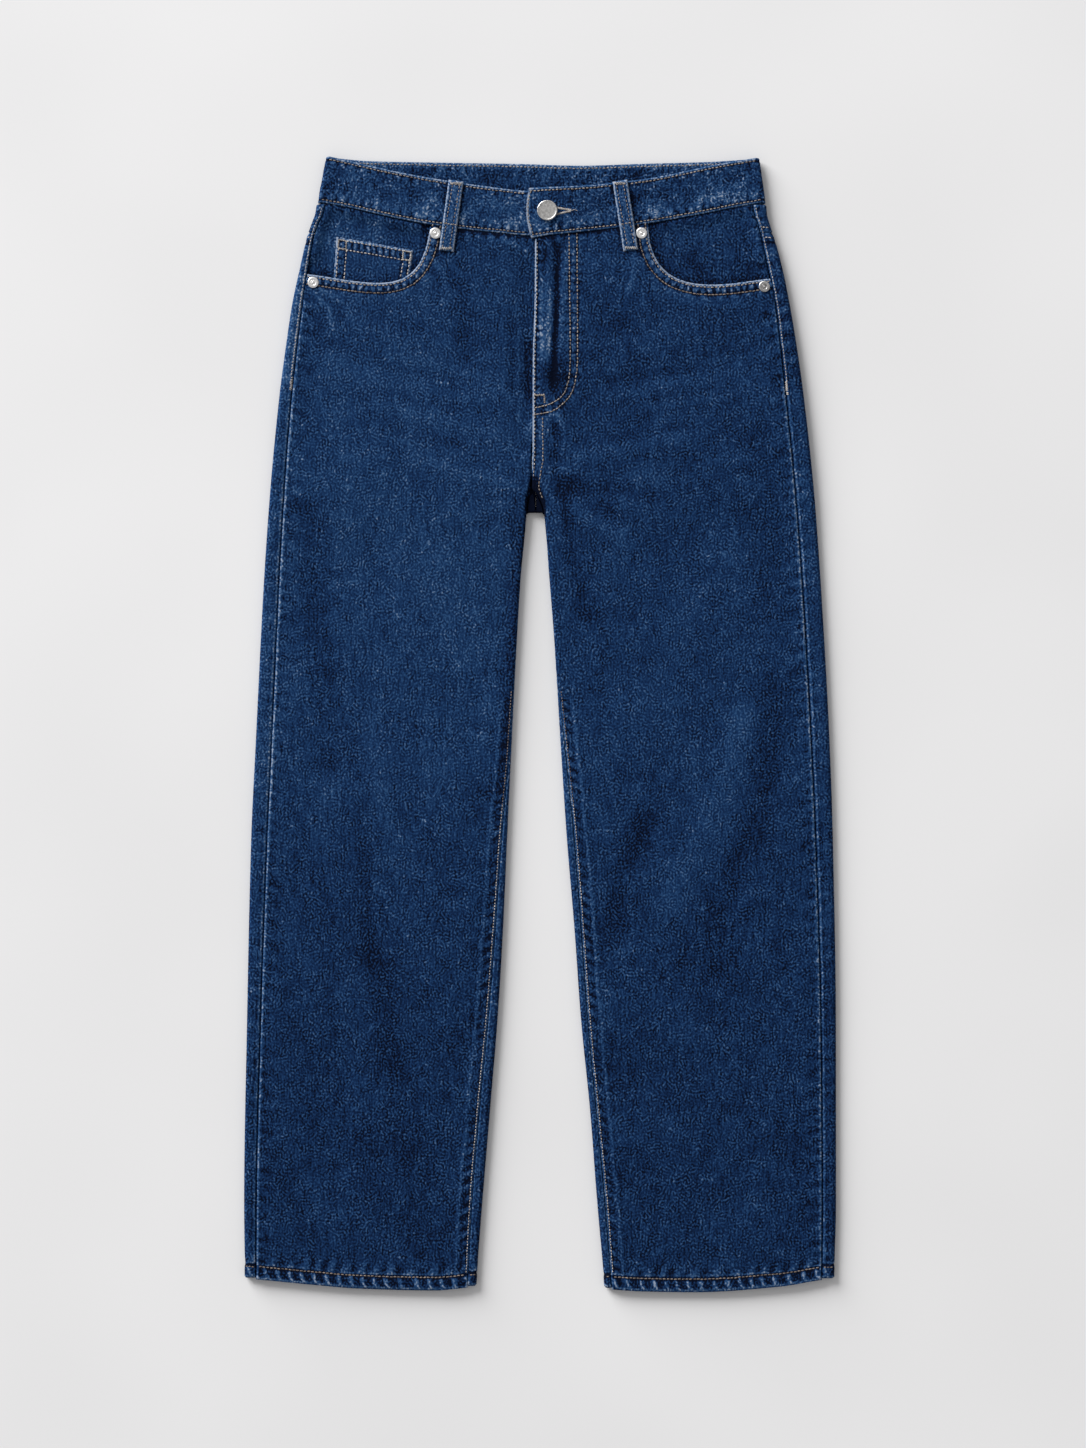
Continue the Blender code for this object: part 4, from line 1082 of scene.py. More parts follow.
@dataclass(frozen=True)
class FrontPanel(HalfPart):
    """A front: from the pocket's opening and the waist seam down to the hem."""

    columns: int = 124
    fine: int = 13
    fine_step: float = 1.0
    blend_rows: int = 64
    row_step: float = 3.0
    pocket_share: float = 0.56

    def level(self, outward: Array, y: Array) -> Array:
        """Level of the outer face where the fronts part to pass each other at the fly."""
        lift, low, high = self.side.pick((-1.4, 8, 34), (0.7, 16, 40))
        return TOP(y) + lift * ease(y, 228, 246) * fall(outward, low, high)

    def spread(self, total: Array) -> Array:
        """Distances across rows of these widths, fine near both edges."""
        edge = self.fine * self.fine_step
        near = np.arange(self.fine) * self.fine_step + 0 * total
        middle = edge + (total - 2 * edge) * np.linspace(0, 1, self.columns - 2 * self.fine)
        return np.concatenate([near, middle, total - near[:, ::-1]], axis=1)

    def rows(self, heights: Array) -> Array:
        """Rows straight across the panel.

        Args:
            heights: y of each row, or of each point of each row.

        Returns:
            Grid of points.
        """
        half = self.half
        y = np.broadcast_to(heights.reshape(len(heights), -1), (len(heights), self.columns))
        radius = (TOP(y) - BASE(y)) / 2
        fold = half.inner_fold(y)
        first = arc_length(half.inner_seam(y) - fold, radius) + SEAM / 2
        total = arc_length(half.seam(y) - SEAM / 2 - fold, radius) - first
        length = first + total - self.spread(total[:, :1]) * total / total[:, :1]
        inward, level = fold_section(length, radius, TOP(y))
        outward = fold + inward
        flat = self.level(outward, y)
        bent = level + (flat - TOP(y)) * ease(length, 0, radius * pi / 2)
        level = np.where(length > radius * pi / 2, flat, bent)
        return np.stack([self.side.sign * outward, y, level], axis=-1)

    def cut(self) -> Cloth:
        """Lay out its outer face."""
        half, sign, corner = self.half, self.side.sign, self.pocket_share
        lower = self.rows(np.array([BLEND_Y]))[0]
        width = np.abs(lower[0, 0] - lower[:, 0])
        share = width / width[-1]
        curve = bezier(POCKET_CURVES[self.side], np.clip(share / corner, 0, 1))
        inner_x, passed = sign * lower[-1, 0], np.clip((share - corner) / (1 - corner), 0, 1)
        beyond = curve[-1, 0] + (inner_x - curve[-1, 0]) * passed
        upper_x = np.where(share < corner, curve[:, 0], beyond)
        upper_y = np.where(share < corner, curve[:, 1], half.waist(upper_x) - SEAM)
        down = np.linspace(0, 1, self.blend_rows + 1)[:-1, None] ** 1.12
        outward = upper_x + (sign * lower[:, 0] - upper_x) * down
        y = upper_y + (BLEND_Y - upper_y) * down
        pull = (half.seam(y[:, :1]) - SEAM / 2 - outward[:, :1]) * fall(share, 0, 0.12)
        outward = outward + pull * ease(down, 0, 0.08)
        outward += (half.inner_seam(y[:, -1:]) + SEAM / 2 - outward[:, -1:]) * ease(share, 0.85, 1)
        top = np.stack([sign * outward, y, self.level(outward, y)], axis=-1)
        straight = self.rows(np.arange(BLEND_Y, STRAIGHT_END, -self.row_step))
        hem = half.hem(share) - STRAIGHT_END
        low = self.rows(STRAIGHT_END + hem * np.linspace(0, 1, 34)[:, None])
        grid = np.concatenate([top, straight, low], axis=0)
        gap = grid[..., 1] - half.hem(np.linspace(0, 1, self.columns))
        return Cloth(grid, hem_wall(gap), looks_up=True)

    def shape(self, r: Cloth) -> None:
        """Work its relief, wear and shade."""
        x, y, side, inner = r.x, r.y, r.side, r.inner
        half, seed = self.half, self.side.pick(100, 200)
        outward = self.side.sign * x
        below = np.where(outward < 105, half.waist(outward) - y, 1e3)
        away, along = half.pocket.measure(x, y)
        # the fold table paints shade into its troughs and light onto its ridges
        r.shade += wash(x, y) + whiskers(x, y) + creases(FADES_AND_FOLD_SHADING, x, y)
        r.height += drape(x, y) * ease(side, 1, 16) * ease(inner, 1, 16)

        upper = 1 - fall(y, 372, 392)
        r.round_edge(side + 50 * upper)
        self.side_seam(r, side + 200 * upper, y, seed)
        self.inseam(r, inner, y, seed)
        r.hem(y - half.hem(side / side[:, -1:]), x, seed)

        r.round_edge(away, FREE_ROLL)
        r.line(away, 0.9, 1.1, 0.85)
        r.bed(away, 2.3)
        r.bed(away, 9, 0.42, 1.5)
        r.height += 0.3 * bell(away - 5.6, 2.6)
        r.ladder(away, along, 8, seed + 11, 9, 0.22, 0.16)
        r.rungs(away, along, 6, 5.7, 2.6, 0.62)
        high = ease(y, 384, 404)
        r.beat *= 1 - 0.7 * high
        r.shade += 0.11 * high * bell(away - 5.6, 3.4)
        r.ladder(np.maximum(away - 9, 0), along, 12, seed + 12, 7, 0.2, 0.1, 0.35)
        r.shade += 0.06 * bell(away - 13, 4)

        r.round_edge(below)
        r.height -= 0.5 * bell(below, 3)
        # painted shadow under the waistband and beside the front belt loops
        r.shade -= 0.34 * bell(below, 3) + loop_painted_shadow(x, y)
        r.ladder(below, x, 9, seed + 15, 12, 0.22, 0.16)
        # painted shade of the hollow at the fork
        r.shade -= fork_painted_shade(x, y)
        if self.side is Side.LEFT:
            self.fly(r, x, y, inner)
        else:
            # painted shadow of the fly's overlapping edge on the right front
            r.shade -= 0.05 * fall(np.abs(x + 9), 2, 16) * ease(y, 240, 280)

    def side_seam(self, r: Relief, away: Array, y: Array, seed: int) -> None:
        """Creases and the paler ridge beside the side seam."""
        r.ladder(away, y, 9, seed + 1, 10, 0.28, 0.12, 0.25)
        r.height += 0.24 * bell(away - 1.9, 1.3)
        r.line(away, 1.2, 0.75, 0.36 + 0.26 * fall(y, 292, 304))
        r.line(away, 0, 0.8, -0.3)
        blot = ease(pucker(y + 0.4 * away, 17.5, seed + 3), -0.2, 0.8)
        r.shade += (0.05 - 0.16 * blot) * bell(away - 9, 5.5)

    def inseam(self, r: Relief, away: Array, y: Array, seed: int) -> None:
        """The stitched inner seam with the blotches of the allowance beneath it, and painted shade along the
        leg's inner edge.
        """
        sewn = away + 200 * ease(y, 20, 60)
        r.round_edge(away)
        # painted shade along the inner edge beside the gap, strong on the right leg and faint on the left
        r.shade -= self.side.pick(0.14, 0.03) * bell(away - 3, 6) * ease(y, -90, -20) * fall(y, 172, 196)
        r.line(sewn, 0.6, 0.9, 0.46)
        r.bed(sewn, 2, 0.2)
        r.ladder(sewn, y, 9.6, seed + 2, 11, 0.36, 0.16, 0.45)
        blot = 0.5 - 0.5 * pucker(y + 0.6 * away, 9.6, seed + 2)
        r.shade += (0.04 - 0.22 * blot) * bell(sewn - 6, 3.4)
        r.height += 0.2 * bell(sewn - 11, 1.4)
        r.line(sewn, 10.5 + 1.2 * Ripple(seed + 9, 9, 1)(y, 0), 1.3, 0.2)

    def fly(self, r: Relief, x: Array, y: Array, inner: Array) -> None:
        """The fly: its worn edge, the curved rows, and the hollow over the zip with painted shade in it."""
        edge = inner + 200 * fall(y, 220, 226)
        r.round_edge(edge, FREE_ROLL)
        r.line(edge, 0.6, 0.8, 1.25)
        r.bed(edge, 2.2, 0.5, 0.9)
        r.shade -= 0.1 * bell(edge - 3.4, 1)
        r.ladder(edge, y, 7.5, 231, 9, 0.22, 0.22)
        r.rungs(edge, y, 7, 4.6, 2, 0.24)
        for row, depth in ((J_OUTER, 0.4), (J_INNER, 0.36)):
            away, along = Path.through(row).measure(x, y)
            r.bed(away, 0, depth, 1.2)
            r.ladder(away, along, 8.5, 233, 7, 0.18, 0.15)
            r.line(away, 1.8, 0.8, 0.14)
        tall = ease(y, 288, 306) * fall(y, 420, 430)
        groove = x - (11.6 + 3.2 * ease(y, 300, 396) + 1.4 * ease(y, 396, 416))
        wide = 1.9 + 1.6 * ease(y, 392, 412) + 1.0 * fall(y, 300, 316)
        r.height -= 0.85 * bell(groove, 1.3 * wide) * tall
        r.height += 0.4 * bell(groove + 8, 3.4) * tall
        streak = 0.9 + 0.35 * Ripple(236, 2.4, 16)(x, y)
        lit = ease(y, 312, 330) * fall(y, 372, 396)
        r.wear += (0.42 * bell(x - 0.8, 2.6) + 0.32 * bell(x - 7.4, 2.8)) * streak * lit
        r.wear += 0.2 * streak * bell(x - 18.5, 2.4) * tall * ease(pucker(y, 7, 239), -0.6, 0.5)
        # painted shade in the groove over the zip; the cloth is also darker below the waistband by the fly
        # and inside the J curve
        r.shade -= 0.24 * bell(groove, wide) * tall
        r.shade -= 0.2 * bell(x - 5, 6.5) * ease(y, 398, 412)
        r.shade -= 0.26 * bell(x - 5.5, 5) * bell(y - 310, 10)
        r.shade -= 0.36 * bell(x - 17, 7.5) * bell(y - 306, 20)
        r.wear += 0.14 * bell(x - 3, 5.5) * bell(y - 264, 9) * streak
        r.height += 0.25 * fall(x, 31, 35) * ease(y, 276, 290)


@dataclass(frozen=True)
class SeatPart(HalfPart):
    """A piece that lies below: its rows run round the outer fold and across the seat."""

    outer: int = 15
    flat: int = 36
    tail: int = 26
    strip: float = 30.0

    def outer_points(self, y: float) -> Array:
        """Points from the side seam over the outer fold to the lower face."""
        fold, radius = self.half.fold(y), float(TOP(y) - BASE(y)) / 2
        first = float(arc_length(fold - self.half.seam(y) - SEAM / 2, radius))
        length = np.linspace(first, -radius * pi / 2, self.outer)
        inward, level = fold_section(length, radius, float(TOP(y)))
        return np.stack([self.side.sign * (fold - inward), np.full(self.outer, y), level], axis=-1)

    def seat(self, height_of: Callable[[Array], Array]) -> Array:
        """A row across the seat.

        Args:
            height_of: Height at a share across, from the side (0) to the seat seam (1).

        Returns:
            Points from the side seam to the seat seam.
        """
        sign = self.side.sign
        points = self.outer_points(float(height_of(np.array(0))))
        start = sign * points[-1, 0]
        outward = np.concatenate([
            np.linspace(start, self.strip, self.flat + 1)[1:],
            np.linspace(self.strip, 0, self.tail + 1)[1:],
        ])
        inner = 1 - outward / start
        y = height_of(inner)
        x = sign * outward + (centre_back(y) + sign * SEAM / 2) * inner
        return np.concatenate([points, np.stack([x, y, BASE(y)], axis=-1)])

    def join(self, y_side: float, tail: Array) -> Array:
        """A row from the side seam to an inner stretch that starts on the lower face."""
        points = self.outer_points(y_side)
        share = (np.arange(1, self.flat) / self.flat)[:, None]
        flat = points[-1] + (tail[0] - points[-1]) * share
        flat[:, 1] = y_side + (tail[0, 1] - y_side) * share[:, 0] ** 2
        flat[:, 2] = BASE(flat[:, 1])
        return np.concatenate([points, flat, tail])

    def fork(self, step: float) -> Array:
        """A row whose inner end turns up round the fold at the fork, at a step of its table."""
        row_y, edge_y, turn, lead, top, *ends = (float(gauge(step)) for gauge in gauges(WRAPS))
        edge_x, reach = self.side.pick(ends[:2], ends[2:])
        radius = (top - float(BASE(edge_y))) / 2
        angle = radians(turn)
        out_x, out_y = -self.side.sign * cos(angle), -sin(angle)
        last = copysign(float(arc_length(abs(reach), radius)), reach)
        length = np.linspace(-radius * pi / 2 - lead, last, self.tail + 1)
        inward, level = fold_section(length, radius, top)
        tail = np.stack([edge_x - out_x * inward, edge_y - out_y * inward, level], axis=-1)
        return self.join(row_y, tail)

    def leg(self, y_side: float, y_end: float) -> Array:
        """A row round a leg, from the side seam beneath it and up to the inseam."""
        top, fold = float(TOP(y_end)), float(self.half.inner_fold(y_end))
        radius = float(TOP(y_end) - BASE(y_end)) / 2
        depth = max(float(self.half.inner_seam(y_end)) - fold, 0)
        last = float(arc_length(depth, radius)) - SEAM / 2
        length = np.linspace(-radius * pi / 2, last, self.tail + 1)
        inward, level = fold_section(length, radius, top)
        x = self.side.sign * (fold + inward)
        return self.join(y_side, np.stack([x, np.full(self.tail + 1, y_end), level], axis=-1))


def between_rows(first: Array, last: Array, count: int) -> list[Array]:
    """Rows that pass evenly from one row to another, both left out."""
    return [first + (last - first) * share for share in np.linspace(0, 1, count + 2)[1:-1]]


@dataclass(frozen=True)
class BackPanel(SeatPart):
    """A back: from the yoke seam to the hem, and from the side seam round to the inseam."""

    row_step: float = 2.4
    hem_lift: float = 1.5

    def cut(self) -> Cloth:
        """Lay out its outer face."""
        yoke = gauges(YOKE_SEAM)[0]
        rows = [
            self.seat(lambda at, s=share: (yoke(at) - SEAM) * (1 - s) + BLEND_Y * s)
            for share in np.linspace(0, 1, 34)[:-1]
        ]
        rows += [
            self.seat(lambda at, y=y: np.full(np.shape(at), y))
            for y in np.arange(BLEND_Y, 208, -self.row_step)
        ]
        fork = [self.fork(step) for step in np.linspace(0, 8, 25)]
        rows += between_rows(rows[-1], fork[0], 5) + fork
        rows += between_rows(fork[-1], self.leg(160, 160), 7)
        rows += [self.leg(y, y) for y in np.arange(160, STRAIGHT_END, -self.row_step)]
        drops = [float(self.half.hem(at)) + self.hem_lift - STRAIGHT_END for at in (0, 1)]
        for share in np.linspace(0, 1, 32):
            rows.append(self.leg(*(STRAIGHT_END + drop * share for drop in drops)))
        grid = np.array(rows)
        down = run_along(grid, 0)
        return Cloth(grid, hem_wall(down[-1:, :] - down), looks_up=False)

    def shape(self, r: Cloth) -> None:
        """Work its relief, wear and shade."""
        x, y, side, inner = r.x, r.y, r.side, r.inner
        pick = self.side.pick
        seed = pick(300, 400)
        # painted shade of the hollow at the fork
        r.shade += wash(x, y) - fork_painted_shade(x, y)
        under = np.clip(-r.normal[..., 2], 0, 1)
        sag = under * (0.35 + 0.3 * Ripple(41, 60, 90)(x, y))
        r.height -= sag * ease(side, 20, 50) * ease(inner, 12, 40)

        r.round_edge(side)
        r.round_edge(inner)
        high = ease(y, 290, 310)
        upper = side + 300 * (1 - high)
        r.shade += pick(0.05, 0.03) * bell(side - 6, 8)
        r.line(side, 0.1, 0.8, -0.3)
        r.line(side, 1.6, 0.9, pick(0.42, 0.38))
        r.line(upper, 1.2, 0.9, pick(0.34, 0.16))
        r.bed(upper, 1.8, 0.1)
        r.line(side, 3.4, 1.2, -0.12)
        r.ladder(side, y, 13, seed + 1, 14, 0.14, 0.05 + 0.09 * high, -0.25)
        r.wear += pick(0.16, -0.04) * high * ease(side, 1, 3) * fall(side, 26, 60) * fall(y, 395, 420)
        leg = inner + 200 * (1 - fall(y, 150, 185))
        r.ladder(leg, y, 9.6, seed + 2, 9, 0.14, 0.06, 0.3)
        r.line(leg, 0.9, 0.9, 0.24)
        r.line(leg, 4, 1.2, 0.14)
        seat = inner + 200 * fall(y, 206, 216)
        r.round_edge(r.top)
        for seam in (seat, r.top):
            r.bed(seam, 2)
            r.bed(seam, 8.5)
        r.ladder(seat, y, 9, seed + 3, 9, 0.24, 0.2)
        r.ladder(r.top, x, 9, seed + 4, 10, 0.24, 0.18)
        r.hem(r.low, x, seed)


@dataclass(frozen=True)
class Yoke(SeatPart):
    """The yoke, between the yoke seam and the waistband, round the side to the side seam."""

    rows: int = 26
    band_half: float = 195.0

    def band_edge(self, share: Array) -> Array:
        """Lower edge of the waistband at the back, at a share across from the side."""
        edge = Gauge(tuple((row[2], row[3]) for row in BACK_BAND))
        return edge(self.side.sign * self.band_half * (1 - share))

    def cut(self) -> Cloth:
        """Lay out its outer face."""
        low = gauges(YOKE_SEAM)[0]
        grid = np.array([
            self.seat(lambda at, s=share: low(at) * s + (self.band_edge(at) - SEAM) * (1 - s))
            for share in np.linspace(0, 1, self.rows)
        ])
        return Cloth(grid, DENIM, looks_up=False)

    def shape(self, r: Cloth) -> None:
        """Work its relief, wear and shade."""
        x, y, seed = r.x, r.y, self.side.pick(500, 550)
        r.shade += wash(x, y) - 0.01
        for away in (r.side, r.inner, r.top, r.low):
            r.round_edge(away)
        r.line(r.low, 0.9, 0.9, 0.24)
        r.line(r.side, 1.3, 1.2, 0.45)
        r.bed(r.side, 1.8, 0.1)
        r.ladder(r.side, y, 8, seed, 9, 0.24, 0.2)
        r.ladder(r.low, x, 9, seed + 1, 8, 0.2, 0.18)
        r.ladder(r.top, x, 9, seed + 2, 9, 0.2, 0.14)


@dataclass(frozen=True)
class Waistband(ClothPart):
    """The waistband: one doubled strip from its overlapping end round the back to the end beneath."""

    spacing: float = 1.1
    depth: float = 40.0
    face_points: int = 38
    inner_points: int = 9
    turn_steps: int = 13
    end_round: float = 16.0
    turns: Point = (200.0, 606.0)  # where the back stretch starts and ends along the strip

    def stations(self, rows: Table) -> Array:
        """Rows of a band table read evenly along it."""
        return read_evenly(rows, int(abs(rows[0][0] - rows[-1][0]) / self.spacing))

    def path(self) -> Pair:
        """Stations of the whole strip, and the angle its face looks at, 90 degrees being up."""
        left, back, right = (self.stations(rows) for rows in (LEFT_BAND, BACK_BAND, RIGHT_BAND))
        share = np.linspace(0, 1, self.turn_steps + 2)[1:-1]
        parts = [(left, np.full(len(left), 90.0))]
        for rows, start, turn in ((back, 90, -180), (right, -90, 180)):
            last = parts[-1][0][-1]
            parts.append((last + (rows[0] - last) * share[:, None], start + turn * share))
            parts.append((rows, np.full(len(rows), float(start + turn))))
        return np.concatenate([part[0] for part in parts]), np.concatenate([part[1] for part in parts])

    def section(self) -> Pair:
        """Distance down from the upper edge, and depth below the face, round the strip's section."""
        edge, corner = BAND_WALL / 2, np.linspace(0, pi, 9)[1:-1]
        down = np.concatenate([
            np.linspace(edge, self.depth - edge, self.face_points),
            self.depth - edge + edge * np.sin(corner),
            np.linspace(self.depth - edge, edge, self.inner_points),
            edge - edge * np.sin(corner),
        ])
        below = np.concatenate([
            np.zeros(self.face_points), edge - edge * np.cos(corner),
            np.full(self.inner_points, BAND_WALL), edge + edge * np.cos(corner),
        ])
        return down, below

    def build(self, denim: Material) -> Object:
        """Make the waistband's piece."""
        stations, degrees = self.path()
        angle = np.radians(degrees)[:, None]
        step = np.hypot(*np.diff(stations[:, :2], axis=0).T)
        arc = np.abs(np.diff(angle[:, 0])) * BAND_FOLD
        along = np.concatenate([[0], np.cumsum(np.maximum(step, arc))])[:, None]
        down, below = self.section()
        share = down[None, :] / self.depth
        x_top, y_top, x_low, y_low, lift = (stations[:, k:k + 1] for k in range(5))
        sideways = np.sign(x_top) * np.cos(angle) * (np.abs(np.cos(angle)) > 1e-6)
        bulge = OVERLAP_BULGE * np.sin(pi * np.clip(share, 0, 1)) * fall(along, 0, self.end_round)
        x = x_top + (x_low - x_top) * share - bulge
        y = y_top + (y_low - y_top) * share
        face = np.broadcast_to(np.arange(len(down)) < self.face_points, x.shape)
        inner = np.broadcast_to(below > BAND_WALL - 0.01, x.shape)
        relief = self.relief(along, share * self.depth, 1.0 * (face | inner), x)
        away = BAND_FOLD - below[None, :] + relief.height * np.where(inner, -1, 1)
        level = (BAND_TOP + BAND_BASE) / 2 + lift + away * np.sin(angle)
        return self.ticket.pin(self.close(np.stack([x + sideways * away, y, level], axis=-1), relief, denim))

    def relief(self, along: Array, down: Array, both: Array, x: Array) -> Relief:
        """Relief of the strip.

        Args:
            along: Distance along the strip.
            down: Distance from its upper edge.
            both: 1 on the outer and the inner face, 0 round the edges.
            x: X of each point.

        Returns:
            The relief.
        """
        r = Relief(both.shape)
        up = self.depth - down
        r.shade += wash(x, np.full(both.shape, 470.0)) - 0.05 - 0.035 * ease(x, -20, 30)
        behind = 1.0 * ((along > self.turns[0]) & (along < self.turns[1]))
        r.shade -= 0.075 * behind
        # painted shadow of the front belt loops on the band
        r.shade -= loop_painted_shadow(x, 480 - 60 * down / 40 + 0 * x) * (1 - behind)
        # painted shade along the grooves of both rows of stitching
        for at in (2.6, 37.4):
            r.height -= both * 0.32 * bell(down - at, 1)
            r.shade -= both * 0.26 * bell(down - at, 1.1)
        for away, seed, reach, size in ((down, 601, 8, 0.18), (up, 602, 11, 0.3)):
            wave = pucker(along, 8.6, seed) * ease(away, 2.5, 4.5) * fall(away, 5, reach)
            r.height += both * size * wave
            r.wear += both * 0.22 * wave
        for lean, seed, pitch in ((0.15, 605, 2.7), (0.7, 606, 3.2), (-0.8, 610, 3.4)):
            streak = ease(Ripple(seed, pitch, 30)(along + lean * down, down), 0.22, 0.66)
            streak = streak * (0.15 + 0.85 * ease(Ripple(seed + 40, 7, 9)(along, down), -0.4, 0.6))
            streak = streak * ease(down, 2.5, 5) * ease(up, 2.5, 4.5)
            r.height += both * 0.16 * streak
            r.wear += both * 0.13 * streak
        hooks = ease(pucker(along + 1.2 * np.abs(down - 9), 8.6, 611), 0.35, 0.8)
        r.wear += behind * 0.24 * hooks * ease(down, 3, 5) * fall(down, 13, 20)
        r.wear += both * (0.1 * Ripple(609, 11, 8)(along, down) + 0.05)
        r.wear += 0.6 * bell(down - 0.9, 1) + 0.5 * bell(up - 0.8, 0.9)
        r.wear += 1.0 * fall(along, 0.6, 3.4)
        blocks = pucker(along, 8.8, 607) * 0.6 + 0.5
        r.wear += both * 0.24 * blocks * bell(up - 8.5, 4.6) * (1 - behind)
        patch = ease(Ripple(613, 26, 10)(along, down), -0.7, 0.5)
        r.frost = both * (0.1 + 0.2 * patch) * ease(down, 3, 6) * ease(up, 3, 6)
        r.wear += both * 0.12 * patch * bell(up - 15, 6) * (1 - behind)
        r.height += both * (0.3 * Ripple(608, 46, 30)(along, down)) * ease(down, 2, 12) * ease(up, 2, 12)
        r.weather(0.5, 0.5)
        return r

    def close(self, grid: Array, relief: Relief, denim: Material) -> Object:
        """Close the strip's section round it and cap its two ends."""
        rows, columns = grid.shape[:2]
        index = np.arange(rows * columns).reshape(rows, columns)
        ahead = np.roll(index, -1, axis=1)
        quads = np.stack([index[:-1], index[1:], ahead[1:], ahead[:-1]], axis=-1).reshape(-1, 4)
        faces = quads.tolist() + [index[0].tolist(), index[-1, ::-1].tolist()]
        if np.cross(grid[1, 0] - grid[0, 0], grid[0, 1] - grid[0, 0])[2] <= 0:
            faces = [face[::-1] for face in faces]
        values = {field: getattr(relief, field).ravel() for field in ("wear", "shade", "frost")}
        return link_mesh(self.ticket.piece, grid.reshape(-1, 3), faces, denim, values, sharp=60)


@dataclass(frozen=True)
class PocketFacing(HalfPart):
    """The facing that shows in a front pocket's opening."""

    wall: float = 1.3
    gap: float = 0.7
    inner_edge: float = 76.0
    low_y: float = 348.0
    high_y: float = 458.0
    rim: float = 12.0
    step: float = 0.4
    columns: int = 64
    rows: int = 56

    def cut(self) -> Cloth:
        """Lay out its outer face."""
        level = self.side.pick(5.4, 6.6)
        across = np.linspace(0, 1, self.columns)[None, :]
        along = np.linspace(1, 0, self.rows)[:, None]
        high_seam = self.half.seam(self.high_y)
        high_y = self.half.waist(high_seam + (self.inner_edge - high_seam) * across) - self.gap
        y = self.low_y + (high_y - self.low_y) * along
        seam = self.half.seam(y) - self.gap
        outward = seam + (self.inner_edge - seam) * across
        climb = np.maximum(1 - (seam - outward) / self.rim, 1 - (high_y - y) / self.rim)
        clear = ease(y, 404, 414) * ease(outward, 100, 108)
        z = level + (TOP(y) - self.step - level) * ease(climb, 0, 1) * clear
        return Cloth(np.stack([self.side.sign * outward, y, z], axis=-1), self.wall, looks_up=True)

    def shape(self, r: Cloth) -> None:
        """Work its relief, wear and shade."""
        x, y = r.x, r.y
        seed, pale = self.side.pick((700, 1), (750, 0))
        r.shade += wash(x, y) - 0.05
        away, _ = self.half.pocket.measure(x, y)
        # painted shadow of the front's edge along the pocket opening, a little lighter further in
        r.shade -= 0.2 * bell(away, 5) - 0.05 * ease(away, 16, 34)
        r.frost += 0.07 * ease(away, 5, 14)
        r.round_edge(r.side)
        r.round_edge(r.top)
        r.ladder(r.side, y, 8, seed, 9, 0.16, 0.16)
        r.ladder(r.top, x, 9, seed + 1, 9, 0.16, 0.16)
        # painted shadow under the waistband and beside the front belt loops
        r.shade -= 0.18 * bell(r.top, 3.4) + loop_painted_shadow(x, y)
        r.wear += (0.06 + 0.06 * pale) * Ripple(seed + 5, 16, 9)(x, y) + 0.05 * pale
        r.height += 0.12 * Ripple(seed + 2, 18, 24)(x, y) * ease(away, 4, 12)


def patch_grid(upper: Line, lower: Line, rows: int, columns: int, level: float) -> Array:
    """Grid of a flat patch.

    Args:
        upper: Corners along its upper edge.
        lower: Corners along its lower edge.
        rows: Number of rows.
        columns: Number of points in a row.
        level: Its level.

    Returns:
        Grid of points.
    """
    share, edges = np.linspace(0, 1, columns), []
    for corners in (upper, lower):
        line = np.array(corners, float)
        edges.append(read_line(line, share * lengths(line)[-1]))
    down = np.linspace(0, 1, rows)[:, None, None]
    flat = edges[0][None] * (1 - down) + edges[1][None] * down
    return np.concatenate([flat, np.full((*flat.shape[:2], 1), level)], axis=-1)


def patch_relief(r: Cloth, seed: int, inset: Point, top_inset: Point, worn: float = 1) -> None:
    """Edges, rows of stitching and creases of a patch.

    Args:
        r: The patch.
        seed: Seed of its creases.
        inset: Distances of the rows from the sides and the lower edge.
        top_inset: Distances of the rows from the upper edge.
        worn: How worn its edges are.
    """
    for k, (away, along) in enumerate(((r.side, r.y), (r.inner, r.y), (r.low, r.x), (r.top, r.x))):
        r.round_edge(away, 1)
        r.line(away, 0.8, 1, 0.5 * worn)
        for at in (top_inset if away is r.top else inset):
            r.bed(away, at)
        r.ladder(away, along, 6.6, seed + k, 9, 0.16, 0.2 * worn)


@dataclass(frozen=True)
class CoinPocket(ClothPart):
    """The small pocket on the right facing."""

    level: float = 6.7
    wall: float = 1.0

    def cut(self) -> Cloth:
        """Lay out its outer face."""
        a, b, c, d = COIN_OUTLINE
        return Cloth(patch_grid((a, b), (d, c), 52, 56, self.level), self.wall, looks_up=True)

    def shape(self, r: Cloth) -> None:
        """Work its relief, wear and shade."""
        r.shade += wash(r.x, r.y) - 0.01
        away, _ = HALVES[Side.RIGHT].pocket.measure(r.x, r.y)
        # painted shadow of the front's edge along the pocket opening
        r.shade -= 0.14 * bell(away, 4.5)
        patch_relief(r, 800, (2.2, 9), (2.2, 10), 1.7)
        r.rungs(r.top, r.x, 5.4, 6.2, 2.8, 0.58)
        r.height += 0.1 * Ripple(812, 16, 20)(r.x, r.y)
        r.height = np.where(away < 4, np.minimum(r.height, 0.1), r.height)


@dataclass(frozen=True)
class BackPocket(HalfPart):
    """A plain patch pocket on the seat."""

    def cut(self) -> Cloth:
        """Lay out its outer face."""
        a, b, c, d, e = ((self.side.sign * x, y) for x, y in BACK_POCKET)
        return Cloth(patch_grid((a, b), (e, d, c), 60, 62, 0), PATCH, looks_up=False)

    def shape(self, r: Cloth) -> None:
        """Work its relief, wear and shade."""
        r.shade += wash(r.x, r.y) + 0.02
        patch_relief(r, self.side.pick(850, 870), (2.2, 8.5), (9, 13))
        r.height -= 0.2 + 0.15 * Ripple(861, 40, 50)(r.x, r.y)


